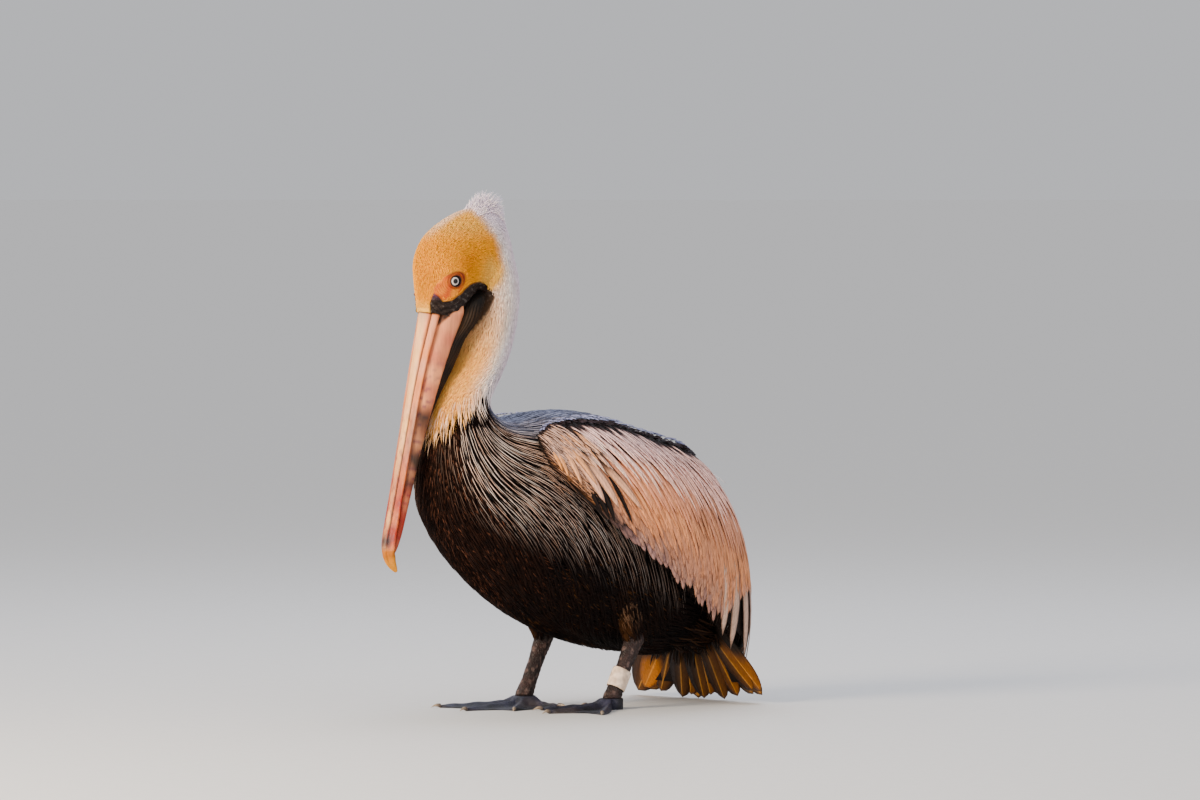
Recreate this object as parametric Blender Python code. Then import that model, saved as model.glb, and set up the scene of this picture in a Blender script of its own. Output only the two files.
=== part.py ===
"""A life-size brown pelican standing at rest, as a still model of solids.

The bird faces -Y with +Z up, and its left side is +X. Sizes are named values in
millimetres, measured on the bird's own median plane: `f` runs forward from the
middle of the stance, `z` up from the floor, and `x` out to the left. Head, neck
and trunk are one surface, lofted through ribs that fan round the throat from the
bill to the tail, and parted by thin planar cuts. Bill, pouch, wings, tail, legs
and feet are solids of their own that stop a thin gap short of that surface.
"""

import math

import bmesh
import bpy
import numpy as np
from mathutils import Matrix, Vector

MM = 0.001
GAP = 0.35  # space kept between neighbouring pieces
ROUND = 24  # points round a section of the body

# The bill's own frame: its root on the median plane and its pitch below level.
BILL_ROOT = (204.0, 437.0)
BILL_PITCH = 79.0
BILL_DOWN = (math.cos(math.radians(BILL_PITCH)), -math.sin(math.radians(BILL_PITCH)))
BILL_FRONT = (-BILL_DOWN[1], BILL_DOWN[0])

# The head is turned to the bird's right about an upright axis in the neck.
HEAD_TURN = 5.0
TURN_AXIS_F = 112.0
TURN_RIBS = (18.0, 10.0)  # the turn grows along the neck between these ribs


def on_bill(along, front):
    """The median-plane point `along` the bill from its root and `front` of its axis."""
    return (
        BILL_ROOT[0] + along * BILL_DOWN[0] + front * BILL_FRONT[0],
        BILL_ROOT[1] + along * BILL_DOWN[1] + front * BILL_FRONT[1],
    )


# Ribs of the body from the bill's root to the tail: the dorsal point, the ventral
# point, the half width, and how far the widest place lies towards the back.
BODY_RIBS = [
    (on_bill(0, 9.5), on_bill(0, -34), 19.5, 0.00),
    (on_bill(-14, 12.5), (163, 437), 23.0, 0.00),
    ((215, 470), (155, 444), 26.5, 0.05),
    ((215.5, 496), (149, 449), 29.0, 0.05),
    ((204, 520), (146.5, 453), 29.5, 0.05),
    ((180, 538), (144.6, 455), 28.5, 0.05),
    ((153, 549), (143.2, 456.6), 28.0, 0.00),
    ((123, 553), (142.4, 457.2), 27.0, 0.00),
    ((104, 534), (141.8, 457), 26.5, 0.00),
    ((94, 502), (141.8, 455), 27.0, 0.00),
    ((86, 472), (143, 450), 27.0, 0.00),
    ((86, 442), (146, 440), 27.0, 0.00),
    ((93, 405), (152, 412), 26.5, 0.00),
    ((106, 375), (163, 384), 27.0, 0.00),
    ((122, 352), (180, 362), 28.5, 0.00),
    ((129, 337), (193, 336), 32.0, 0.00),
    ((122, 325), (203, 303), 42.0, 0.00),
    ((106, 320), (209, 262), 57.0, 0.02),
    ((82, 324), (201, 216), 73.0, 0.04),
    ((50, 328), (175, 176), 85.0, 0.05),
    ((10, 328), (137, 139), 91.0, 0.06),
    ((-36, 320), (90, 107), 93.0, 0.06),
    ((-82, 304), (38, 83), 90.0, 0.05),
    ((-122, 276), (-15, 67), 82.0, 0.04),
    ((-152, 236), (-70, 58), 70.0, 0.02),
    ((-171, 190), (-114, 56), 57.0, 0.00),
    ((-182, 150), (-146, 60), 46.0, 0.00),
    ((-187, 120), (-168, 72), 33.0, 0.00),
]
HEAD_END, NECK_END = 7.5, 15.2  # where the ribs are parted, in ribs from the bill

# The crest behind the crown: how far it stands off the ribs, and how wide it is in radians.
CREST = {"ribs": (5.7, 6.7, 7.6, 8.2), "heights": (0.0, 12.0, 15.0, 0.0), "spread": 0.34}
RING_STEPS = {"head": 20, "neck": 12, "trunk": 25}

# The eyes: the centre of each ball, and its radius.
EYE_AT = (22.2, 188.0, 470.0)
EYE_RADIUS = 7.6

# Bill ribs: the front point and the rear point in the bill's frame, and half width.
UPPER_RIBS = [
    ((0.35, 9.5), (0.35, -6.0), 18.0),
    ((26, 8.3), (26, -3.4), 16.4),
    ((57, 7.8), (57, -0.6), 14.8),
    ((98, 7.5), (98, 0.8), 13.4),
    ((144, 7.8), (144, 1.2), 12.6),
    ((195, 8.6), (195, 1.5), 12.0),
    ((236, 9.6), (236, 1.6), 12.2),
    ((254, 9.8), (254, 1.0), 12.0),
    ((266, 8.0), (263, -0.8), 10.4),
    ((274, 3.4), (267, -4.0), 8.0),
    ((279.5, -3.2), (271.5, -7.0), 5.6),
    ((282.3, -9.0), (277, -11.0), 3.4),
    ((283.2, -13.0), (281.2, -14.0), 1.4),
]
LOWER_RIBS = [
    ((0.35, -6.4), (0.35, -34.0), 20.0),
    ((26, -3.8), (26, -29.0), 18.2),
    ((57, -1.0), (57, -23.5), 16.0),
    ((98, 0.4), (98, -18.0), 13.6),
    ((144, 0.8), (144, -13.5), 12.0),
    ((195, 1.1), (195, -11.0), 11.0),
    ((236, 1.2), (236, -9.2), 10.2),
    ((250, 0.5), (250, -7.6), 9.0),
    ((259.5, -1.8), (259.5, -6.2), 6.4),
    ((264.5, -3.8), (264.5, -5.8), 2.6),
]
# Pouch ribs: front and rear point on the median plane, and half width.
POUCH_RIBS = [
    ((152, 458), (133, 463), 14.0),
    ((163, 449), (129, 455), 25.0),
    ((170, 437), (130, 443), 27.0),
    ((176, 423), (137, 428), 25.5),
    ((187, 405), (155, 409), 21.0),
    ((199, 377), (178, 381), 16.4),
    ((213, 339), (199, 342), 12.6),
    ((224, 301), (212, 304), 10.2),
    ((233, 266), (223, 268), 9.0),
    ((243, 222), (234, 223), 7.6),
    ((251, 190), (244, 191), 5.0),
]

# Wing ribs, each along the lie of the feathers: the upper edge, the middle and
# the lower edge as (x, f, z), from the shoulder back to the tertials.
WING_RIBS = [
    ((64, 108, 306), (81, 112, 288), (91, 107, 267)),
    ((62, 88, 318), (99, 80, 274), (108, 56, 217)),
    ((58, 45, 323), (111, 25, 260), (112, -8, 176)),
    ((55, 0, 320), (116, -30, 243), (106, -62, 143)),
    ((53, -45, 309), (115, -80, 226), (97, -110, 114)),
    ((50, -88, 298), (109, -128, 208), (83, -155, 84)),
    ((48, -122, 288), (95, -165, 192), (68, -196, 60)),
    ((32, -141, 274), (65, -189, 172), (48, -212, 52)),
    ((16, -150, 258), (34, -198, 160), (31, -217, 57)),
]
WING_STEPS = (19, 9)
WING_THICK = (15.0, 4.0)  # at the upper edge and at the feather tips

# The tail: a fan of rectrices from a narrow root to a wide, scalloped edge.
TAIL_FEATHERS = 11
TAIL_ROOT = (24.0, -166.0, 104.0)
TAIL_TIP = (108.0, -197.0, 3.6)
TAIL_SIDE_RISE = 7.0
TAIL_TILT = 4.0  # how much higher the left corner is than the middle line's
TAIL_SWING = -8.0  # how far the tips lie to the right of the root
TAIL_CROWN = 9.0
TAIL_THICK = (9.0, 2.4)
TAIL_SCALLOP = 7.0

# Legs: the points of the shank's axis, and each section's half breadth and depth.
HIP_SPREAD = 50.0
LEG_AXES = {
    "left": [(HIP_SPREAD, -30, 122), (HIP_SPREAD, -47, 76), (HIP_SPREAD, -14, 12.35)],
    "right": [(-HIP_SPREAD, 14, 122), (-HIP_SPREAD, -3, 76), (-HIP_SPREAD, 26, 12.35)],
}
LEG_RINGS = [
    (0.0, 11.0, 15.0),
    (0.3, 10.5, 13.5),
    (0.85, 9.0, 11.5),
    (1.0, 9.4, 12.0),
    (1.15, 8.6, 10.8),
    (1.45, 7.2, 9.4),
    (1.75, 7.4, 9.8),
    (1.92, 8.6, 10.6),
    (2.0, 9.6, 11.4),
]
HOCK_BEND = 0.12  # how far either side of the hock the shank's bend is eased
BAND = {"from": 1.53, "to": 1.84, "clear": 0.5, "thick": 1.4}

# Feet: toes by bearing from straight ahead (outward is positive) and length.
TOES = {"outer": (36.0, 96.0), "middle": (0.0, 102.0), "inner": (-31.0, 80.0), "hind": (-98.0, 44.0)}
FOOT_TURN = {"left": 6.0, "right": -10.0}  # outward
WEB_SAG = 0.19  # how deep the web's edge is cut between two toes
WEB_THICK = 1.3
TOE_HIGH = (8.5, 3.6)  # at the hub and at the claw
TOE_WIDE = (7.5, 4.2)
HUB_RADIUS = 12.5
HUB_HIGH = 12.0
CLAW = {"long": 10.0, "base": 2.3, "tip": 0.4, "clear": 0.4}

COLOURS = {
    "plumage_dark": ((0.060, 0.045, 0.036), 0.75),
    "plumage_pale": ((0.780, 0.700, 0.560), 0.80),
    "plumage_silver": ((0.420, 0.380, 0.350), 0.70),
    "horn": ((0.640, 0.470, 0.370), 0.45),
    "pouch_skin": ((0.070, 0.060, 0.050), 0.55),
    "eye": ((0.620, 0.660, 0.680), 0.10),
    "leg_skin": ((0.130, 0.130, 0.150), 0.55),
    "claw_horn": ((0.360, 0.320, 0.280), 0.40),
    "band": ((0.800, 0.770, 0.720), 0.50),
}


# --- Small helpers ---------------------------------------------------------------


def smooth_path(values, at):
    """Catmull-Rom curve through the rows of `values`, read at the parameters `at`."""
    rows = np.asarray(values, float)
    rows = np.vstack([2 * rows[0] - rows[1], rows, 2 * rows[-1] - rows[-2]])
    at = np.clip(np.asarray(at, float), 0, len(rows) - 3 - 1e-9)
    i = at.astype(int)
    t = (at - i)[:, None]
    p0, p1, p2, p3 = rows[i], rows[i + 1], rows[i + 2], rows[i + 3]
    return 0.5 * (
        2 * p1
        + (p2 - p0) * t
        + (2 * p0 - 5 * p1 + 4 * p2 - p3) * t**2
        + (3 * p1 - p0 - 3 * p2 + p3) * t**3
    )


def to_world(x, f, z, turned=0.0):
    """Bird sizes in millimetres as world points in metres, `turned` (0 to 1) of the
    way round with the head."""
    angle = np.radians(HEAD_TURN) * np.asarray(turned, float)
    ahead = f - TURN_AXIS_F
    across = x * np.cos(angle) - ahead * np.sin(angle)
    along = TURN_AXIS_F + ahead * np.cos(angle) + x * np.sin(angle)
    return np.stack([across, -along, z], axis=-1) * MM


def material(name):
    """The Principled material of one finish."""
    found = bpy.data.materials.get(name)
    if found:
        return found
    colour, roughness = COLOURS[name]
    made = bpy.data.materials.new(name)
    made.use_nodes = True
    shader = made.node_tree.nodes["Principled BSDF"]
    shader.inputs["Base Color"].default_value = (*colour, 1)
    shader.inputs["Roughness"].default_value = roughness
    made.diffuse_color = (*colour, 1)
    return made


def add_object(name, points, faces, finish, hidden=False):
    """A mesh object from points and faces, with its normals facing out."""
    mesh = bpy.data.meshes.new(name)
    mesh.from_pydata([tuple(p) for p in points], [], faces)
    work = bmesh.new()
    work.from_mesh(mesh)
    bmesh.ops.recalc_face_normals(work, faces=work.faces)
    bmesh.ops.triangulate(work, faces=work.faces)
    work.to_mesh(mesh)
    work.free()
    mesh.shade_smooth()
    mesh.set_sharp_from_angle(angle=math.radians(40))
    made = bpy.data.objects.new(name, mesh)
    bpy.context.scene.collection.objects.link(made)
    if finish:
        mesh.materials.append(material(finish))
    if hidden:
        made.hide_render = True
        made.display_type = "WIRE"
    return made


def tube_faces(rings, points_round):
    """Faces of a capped tube whose points come ring after ring."""
    faces = []
    for i in range(rings - 1):
        for j in range(points_round):
            k = (j + 1) % points_round
            a, b = i * points_round, (i + 1) * points_round
            faces.append((a + j, a + k, b + k, b + j))
    faces.append(tuple(range(points_round)))
    last = (rings - 1) * points_round
    faces.append(tuple(last + j for j in range(points_round)))
    return faces


def grown(source, by=GAP):
    """A hidden copy of a piece, swollen along its normals, that cuts the gap."""
    mesh = source.data.copy()
    work = bmesh.new()
    work.from_mesh(mesh)
    work.normal_update()
    moves = [(v, v.normal.copy()) for v in work.verts]
    for vert, normal in moves:
        vert.co += normal * by * MM
    work.to_mesh(mesh)
    work.free()
    cutter = bpy.data.objects.new(source.name + "_cutter", mesh)
    bpy.context.scene.collection.objects.link(cutter)
    cutter.hide_render = True
    cutter.display_type = "WIRE"
    return cutter


def cut(piece, cutter):
    """Takes the cutter's shape away from a piece."""
    modifier = piece.modifiers.new("clear_" + cutter.name, "BOOLEAN")
    modifier.operation = "DIFFERENCE"
    modifier.solver = "EXACT"
    modifier.use_self = True
    modifier.object = cutter


# --- Body, bill and eyes -----------------------------------------------------------


def body_sections(at, points_round=ROUND):
    """Rings of the body at the rib parameters `at`, as an array of ring by point.

    Each ring is an ellipse in the plane of its rib, from the dorsal point round
    the left side to the ventral point and back.
    """
    rows = [(*dorsal, *ventral, half, shift) for dorsal, ventral, half, shift in BODY_RIBS]
    ribs = smooth_path(rows, at)
    phi = np.arange(points_round) * 2 * math.pi / points_round
    up, side = np.cos(phi), np.sin(phi)
    dorsal, ventral = ribs[:, None, 0:2], ribs[:, None, 2:4]
    centre, reach = (dorsal + ventral) / 2, (dorsal - ventral) / 2
    plane = centre + reach * up[None, :, None]
    from_back = (phi + math.pi) % (2 * math.pi) - math.pi
    ridge = np.exp(-((from_back / CREST["spread"]) ** 2))
    crest = np.interp(at, CREST["ribs"], CREST["heights"])[:, None] * ridge
    outward = reach / np.linalg.norm(reach, axis=-1, keepdims=True)
    plane = plane + outward * crest[..., None]
    across = ribs[:, 4:5] * side * (1 + ribs[:, 5:6] * up)
    start, end = TURN_RIBS
    share = np.clip((np.asarray(at, float) - start) / (end - start), 0, 1)[:, None]
    return to_world(across, plane[..., 0], plane[..., 1], share * share * (3 - 2 * share))


def make_body():
    """Head, neck and trunk: three lengths of one loft with thin gaps between."""
    last = len(BODY_RIBS) - 1
    spans = {
        "head": (0.0, HEAD_END, "plumage_pale"),
        "neck": (HEAD_END, NECK_END, "plumage_pale"),
        "trunk": (NECK_END, last, "plumage_dark"),
    }
    made = {}
    for name, (start, end, finish) in spans.items():
        steps = RING_STEPS[name]
        rings = body_sections(np.linspace(start, end, steps))
        if start > 0:
            dorsal, side, ventral = (rings[0, k] for k in (0, ROUND // 4, ROUND // 2))
            square = np.cross(dorsal - ventral, side - ventral)
            square *= np.sign(square @ (rings[1].mean(axis=0) - rings[0].mean(axis=0)))
            rings[0] += square / np.linalg.norm(square) * GAP * MM
        points = rings.reshape(-1, 3)
        made[name] = add_object(name, points, tube_faces(steps, ROUND), finish)
    return made


def make_eyes(head):
    """A ball in a clear socket on each side of the head."""
    x, f, z = EYE_AT
    for side, sign in (("left", 1), ("right", -1)):
        centre = Vector(to_world(sign * x, f, z, 1.0))
        for name, radius in ((f"eye_{side}", EYE_RADIUS), (f"socket_{side}", EYE_RADIUS + GAP)):
            ball = bmesh.new()
            bmesh.ops.create_icosphere(
                ball, subdivisions=2, radius=radius * MM, matrix=Matrix.Translation(centre)
            )
            mesh = bpy.data.meshes.new(name)
            ball.to_mesh(mesh)
            ball.free()
            mesh.shade_smooth()
            made = bpy.data.objects.new(name, mesh)
            bpy.context.scene.collection.objects.link(made)
            if name.startswith("eye"):
                mesh.materials.append(material("eye"))
            else:
                made.hide_render = True
                made.display_type = "WIRE"
                cut(head, made)


def bill_sections(ribs, at, outline):
    """Rings through bill ribs, each shaped by `outline` points of (front, side)."""
    rows = [(*on_bill(*front), *on_bill(*rear), half) for front, rear, half in ribs]
    found = smooth_path(rows, at)
    front, rear = found[:, None, 0:2], found[:, None, 2:4]
    share = outline[None, :, 0:1]
    plane = rear + (front - rear) * share
    across = found[:, 4:5] * outline[None, :, 1]
    return to_world(across, plane[..., 0], plane[..., 1], 1.0)


def culmen_outline(count=14):
    """The upper bill's section: a raised ridge over sloping sides and a flat palate."""
    angle = np.linspace(0, 2 * math.pi, count, endpoint=False)
    side = np.sin(angle)
    ridge = np.exp(-((side / 0.42) ** 2))
    top = 0.16 + 0.46 * np.sqrt(np.clip(1 - side**2, 0, 1)) + 0.38 * ridge
    front = np.where(np.cos(angle) >= -1e-9, top, 0.0)
    return np.stack([front, np.where(np.cos(angle) < -1e-9, side * 0.96, side)], axis=1)


def oval_outline(count=12, power=2.6):
    """A rounded section, squarer than an ellipse."""
    angle = np.arange(count) * 2 * math.pi / count
    front, side = np.cos(angle), np.sin(angle)
    front = np.sign(front) * np.abs(front) ** (2 / power)
    side = np.sign(side) * np.abs(side) ** (2 / power)
    return np.stack([(front + 1) / 2, side], axis=1)


def make_bill(body):
    """The upper bill with its hook, the lower bill, and the pouch under them."""
    pieces = {}
    for name, ribs, steps, outline in (
        ("upper_bill", UPPER_RIBS, 22, culmen_outline()),
        ("lower_bill", LOWER_RIBS, 16, oval_outline()),
    ):
        at = np.linspace(0, len(ribs) - 1, steps)
        rings = bill_sections(ribs, at, outline)
        count = len(outline)
        pieces[name] = add_object(name, rings.reshape(-1, 3), tube_faces(steps, count), "horn")
    rows = [(*front, *rear, half) for front, rear, half in POUCH_RIBS]
    steps, outline = 17, oval_outline(14, 2.2)
    found = smooth_path(rows, np.linspace(0, len(rows) - 1, steps))
    plane = found[:, None, 2:4] + (found[:, None, 0:2] - found[:, None, 2:4]) * outline[None, :, 0:1]
    across = found[:, 4:5] * outline[None, :, 1]
    rings = to_world(across, plane[..., 0], plane[..., 1], 1.0)
    pouch = add_object("pouch", rings.reshape(-1, 3), tube_faces(steps, len(outline)), "pouch_skin")
    for solid in (body["neck"], body["head"], pieces["lower_bill"]):
        cut(pouch, grown(solid))
    return pieces


# --- Wings and tail ----------------------------------------------------------------


def wing_surface(sign):
    """The wing's outer surface as an array of points, from shoulder to tertials and
    from the upper edge to the feather tips, and the thickness at each."""
    along, down = WING_STEPS
    rows = [[*top, *mid, *low] for top, mid, low in WING_RIBS]
    ribs = smooth_path(rows, np.linspace(0, len(rows) - 1, along)).reshape(along, 3, 3)
    v = np.linspace(0, 1, down)[None, :, None]
    top, mid, low = (ribs[:, None, k] for k in range(3))
    points = top * (1 - v) * (1 - 2 * v) + mid * 4 * v * (1 - v) + low * v * (2 * v - 1)
    thick = WING_THICK[0] + (WING_THICK[1] - WING_THICK[0]) * v[..., 0]
    return to_world(sign * points[..., 0], points[..., 1], points[..., 2]), thick * np.ones((along, 1))


def grid_normals(points):
    """Unit normals of a grid of points, from its two directions."""
    normals = np.cross(np.gradient(points, axis=0), np.gradient(points, axis=1))
    return normals / np.linalg.norm(normals, axis=-1, keepdims=True)


def shell(name, outer, inner, finish):
    """A closed piece between two grids of the same shape."""
    rows, columns = outer.shape[:2]
    size = rows * columns
    points = np.concatenate([outer.reshape(-1, 3), inner.reshape(-1, 3)])
    faces = []
    for i in range(rows - 1):
        for j in range(columns - 1):
            a = i * columns + j
            quad = (a, a + 1, a + columns + 1, a + columns)
            faces.append(quad)
            faces.append(tuple(size + k for k in reversed(quad)))
    rim = [j for j in range(columns)]
    rim += [i * columns + columns - 1 for i in range(1, rows)]
    rim += [(rows - 1) * columns + j for j in range(columns - 2, -1, -1)]
    rim += [i * columns for i in range(rows - 2, 0, -1)]
    for a, b in zip(rim, rim[1:] + rim[:1], strict=True):
        faces.append((a, b, size + b, size + a))
    return add_object(name, points, faces, finish)


def make_wings(body):
    """Both folded wings, as shells that lie on the trunk."""
    trunk_cutter = grown(body["trunk"])
    wings = []
    for side, sign in (("left", 1), ("right", -1)):
        outer, thick = wing_surface(sign)
        normals = grid_normals(outer) * -sign
        outward = np.sign(np.mean(normals[..., 0]) * sign)
        inner = outer - normals * outward * thick[..., None] * MM
        wing = shell(f"wing_{side}", outer, inner, "plumage_silver")
        cut(wing, trunk_cutter)
        wings.append(wing)
    return wings


def tail_point(across, along):
    """The middle of the tail fan at a place across (-1 to 1) and along (0 to 1)."""
    root_x, root_f, root_z = TAIL_ROOT
    tip_x, tip_f, tip_z = TAIL_TIP
    crown = TAIL_CROWN * (1 - across**2)
    x = across * (root_x + (tip_x - root_x) * along) + TAIL_SWING * along
    f = root_f + (tip_f - root_f) * along - crown * (0.4 + 0.6 * along)
    tip_z = tip_z + TAIL_SIDE_RISE * across**2 + TAIL_TILT * across
    z = root_z + (tip_z - root_z) * along + 0.5 * crown * (1 - along)
    return x, f, z


def make_tail(body, wings):
    """The tail fan, scalloped where each rectrix ends."""
    per_feather = 3
    columns = TAIL_FEATHERS * per_feather + 1
    rows = 4
    across = np.linspace(-1, 1, columns)[None, :]
    phase = (np.arange(columns) % per_feather) / per_feather
    notch = np.abs(np.cos(np.pi * phase)) * TAIL_SCALLOP
    length = 1 - notch[None, :] / 112.0
    along = np.linspace(0, 1, rows)[:, None] * length
    x, f, z = tail_point(across, along)
    middle = to_world(x, f, z)
    normals = grid_normals(middle)
    thick = TAIL_THICK[0] + (TAIL_THICK[1] - TAIL_THICK[0]) * along
    offset = normals * (thick * MM / 2)[..., None]
    tail = shell("tail", middle + offset, middle - offset, "plumage_dark")
    cut(tail, grown(body["trunk"]))
    for wing in wings:
        cut(tail, grown(wing))


# --- Legs, feet and the ring -------------------------------------------------------


def leg_rings(side, stations, swell=0.0, points_round=12):
    """Elliptical rings square to the leg's axis at the stations given."""
    axis = np.array(LEG_AXES[side], float)

    def on_axis(at):
        joints = range(len(axis))
        return np.stack([np.interp(at, joints, axis[:, k]) for k in range(3)], axis=1)

    at = np.array([s[0] for s in stations])
    centres = on_axis(at)
    ahead = on_axis(at + HOCK_BEND) - on_axis(at - HOCK_BEND)
    ahead /= np.linalg.norm(ahead, axis=1, keepdims=True)
    ahead[at >= len(axis) - 1] = (0, 0, -1)
    forward = np.cross(ahead, [1.0, 0, 0])
    angle = np.arange(points_round) * 2 * math.pi / points_round
    rings = []
    for centre, across, (_, wide, deep) in zip(centres, forward, stations, strict=True):
        ring = (
            centre
            + np.cos(angle)[:, None] * np.array([1.0, 0, 0]) * (wide + swell)
            + np.sin(angle)[:, None] * across * (deep + swell)
        )
        rings.append(ring)
    rings = np.array(rings)
    height = np.maximum(rings[..., 2], HUB_HIGH + GAP)
    return to_world(rings[..., 0], rings[..., 1], height)


def leg_size_at(station):
    """The leg's half breadth and depth at a station."""
    at = [row[0] for row in LEG_RINGS]
    return [float(np.interp(station, at, [row[k] for row in LEG_RINGS])) for k in (1, 2)]


def make_legs(body):
    """Both shanks, from the belly's plumage down to the feet, and the ring."""
    trunk_cutter = grown(body["trunk"])
    for side in ("left", "right"):
        rings = leg_rings(side, LEG_RINGS)
        points = rings.reshape(-1, 3)
        leg = add_object(f"leg_{side}", points, tube_faces(len(LEG_RINGS), 12), "leg_skin")
        cut(leg, trunk_cutter)
    spots = np.linspace(BAND["from"], BAND["to"], 3)
    loose = [(s, *leg_size_at(float(np.mean(spots)))) for s in spots]
    inner = leg_rings("left", loose, BAND["clear"] + 1.0, 20)
    outer = leg_rings("left", loose, BAND["clear"] + 1.0 + BAND["thick"], 20)
    loop = np.concatenate([outer, inner[::-1]])
    faces = []
    rings, count = len(loop), loop.shape[1]
    for i in range(rings):
        for j in range(count):
            k, n = (j + 1) % count, (i + 1) % rings
            faces.append((i * count + j, i * count + k, n * count + k, n * count + j))
    add_object("leg_band", loop.reshape(-1, 3), faces, "band")


def foot_shape(side, bearing):
    """The foot's reach at a bearing, in millimetres, with webs cut between toes."""
    spots = sorted((angle, long) for angle, long in TOES.values())
    reach = HUB_RADIUS
    for (a, long_a), (b, long_b) in zip(spots, spots[1:], strict=False):
        if a <= bearing <= b:
            t = (bearing - a) / (b - a)
            sag = WEB_SAG * 4 * t * (1 - t) * (1 + 0.25 * (b - a) / 60)
            reach = (long_a + (long_b - long_a) * t) * (1 - sag)
    return reach


def foot_angles():
    """The bearings of the foot's spokes: some to each web, and round the heel."""
    spots = sorted(angle for angle, _ in TOES.values())
    angles = []
    for a, b in zip(spots, spots[1:], strict=False):
        half_toe = 2.2
        count = 6
        inner = list(np.linspace(a + half_toe, b - half_toe, count))
        angles += [a, *inner, b - 0.0] if b == spots[-1] else [a, *inner]
    heel = np.linspace(spots[-1], spots[0] + 360, 9)[1:-1]
    return angles + list(heel)


def make_feet():
    """Both webbed feet on flat soles, and a claw at the end of each toe."""
    angles = np.array(foot_angles())
    toe_bearings = np.array([angle for angle, _ in TOES.values()])
    radial = np.array([0.10, 0.24, 0.42, 0.62, 0.82, 1.0])
    for side, sign in (("left", 1), ("right", -1)):
        ankle = LEG_AXES[side][2]
        reach = np.array([foot_shape(side, a if a <= 180 else a - 360) for a in angles])
        top, count = [], len(angles)
        for share in radial:
            r = share * reach
            r = np.maximum(r, np.minimum(reach, HUB_RADIUS * min(1.0, share * 4)))
            gap = np.abs((angles[:, None] - toe_bearings + 180) % 360 - 180)
            aside = np.min(gap, axis=1) * math.pi / 180 * r
            wide = TOE_WIDE[0] + (TOE_WIDE[1] - TOE_WIDE[0]) * share
            high = TOE_HIGH[0] + (TOE_HIGH[1] - TOE_HIGH[0]) * share
            ridge = np.exp(-((aside / wide) ** 2))
            height = WEB_THICK + (high - WEB_THICK) * ridge
            hub = np.clip((HUB_RADIUS * 1.9 - r) / (HUB_RADIUS * 0.9), 0, 1)
            height = height + (HUB_HIGH - height) * hub * hub * (3 - 2 * hub)
            bearing = np.radians(angles + FOOT_TURN[side])
            x = ankle[0] + sign * np.sin(bearing) * r
            f = ankle[1] + np.cos(bearing) * r
            top.append(to_world(x, f, height))
        centre = to_world(*np.array([ankle[0], ankle[1], HUB_HIGH]))
        sole = top[-1].copy()
        sole[:, 2] = 0.0
        points = np.concatenate([centre[None], *top, sole])
        faces = [(0, 1 + j, 1 + (j + 1) % count) for j in range(count)]
        for i in range(len(radial)):
            for j in range(count):
                k = (j + 1) % count
                a, b = 1 + i * count, 1 + (i + 1) * count
                faces.append((a + j, b + j, b + k, a + k))
        base = 1 + len(radial) * count
        faces.append(tuple(base + j for j in range(count)))
        add_object(f"foot_{side}", points, faces, "leg_skin")
        for toe, (bearing, length) in TOES.items():
            make_claw(f"claw_{side}_{toe}", side, sign, bearing, length)


def make_claw(name, side, sign, bearing, length):
    """A short cone that starts just past the toe's end and lies close to the floor."""
    ankle = LEG_AXES[side][2]
    turn = math.radians(bearing + FOOT_TURN[side])
    ahead = np.array([sign * math.sin(turn), math.cos(turn), 0.0])
    aside = np.array([ahead[1], -ahead[0], 0.0])
    rings = []
    for share in np.linspace(0, 1, 5):
        size = CLAW["base"] + (CLAW["tip"] - CLAW["base"]) * share
        lift = size + CLAW["clear"]
        centre = np.array([ankle[0], ankle[1], 0.0]) + ahead * (length + GAP + CLAW["long"] * share)
        angle = np.arange(8) * math.pi / 4 + math.pi / 8
        ring = centre + np.cos(angle)[:, None] * aside * size
        ring[:, 2] += lift + np.sin(angle) * size
        rings.append(ring)
    rings = np.array(rings)
    points = to_world(rings[..., 0], rings[..., 1], rings[..., 2])
    add_object(name, points.reshape(-1, 3), tube_faces(5, 8), "claw_horn")


# --- The whole bird ----------------------------------------------------------------


def centre_on_floor():
    """Moves the bird so that the middle of its plan is the origin, on the floor."""
    bpy.context.view_layer.update()
    graph = bpy.context.evaluated_depsgraph_get()
    corners = []
    for piece in bpy.context.scene.objects:
        if not piece.hide_render:
            shown = piece.evaluated_get(graph)
            corners += [shown.matrix_world @ Vector(corner) for corner in shown.bound_box]
    low = [min(corner[k] for corner in corners) for k in range(3)]
    high = [max(corner[k] for corner in corners) for k in range(3)]
    move = Vector((-(low[0] + high[0]) / 2, -(low[1] + high[1]) / 2, 0))
    for piece in bpy.context.scene.objects:
        piece.location += move


def main():
    for old in list(bpy.data.objects):
        bpy.data.objects.remove(old)
    body = make_body()
    make_eyes(body["head"])
    make_bill(body)
    wings = make_wings(body)
    make_tail(body, wings)
    make_legs(body)
    make_feet()
    centre_on_floor()


main()
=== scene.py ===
"""Looks of a life-size brown pelican at rest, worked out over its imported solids.

Every surface is a function of two parameters on a grid, or a profile carried along
a path, computed as whole numpy arrays. Sizes are the bird's own, in millimetres:
`x` to its left, `f` forward and `z` up from the floor. The coat is solid blades
that start on the skin and follow the lie of the feathers over the same forms.
"""

from __future__ import annotations

import logging
import math
import sys
from collections.abc import Callable
from dataclasses import dataclass, field
from enum import Enum

import bpy
import numpy as np
from mathutils import Matrix, Vector


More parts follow.
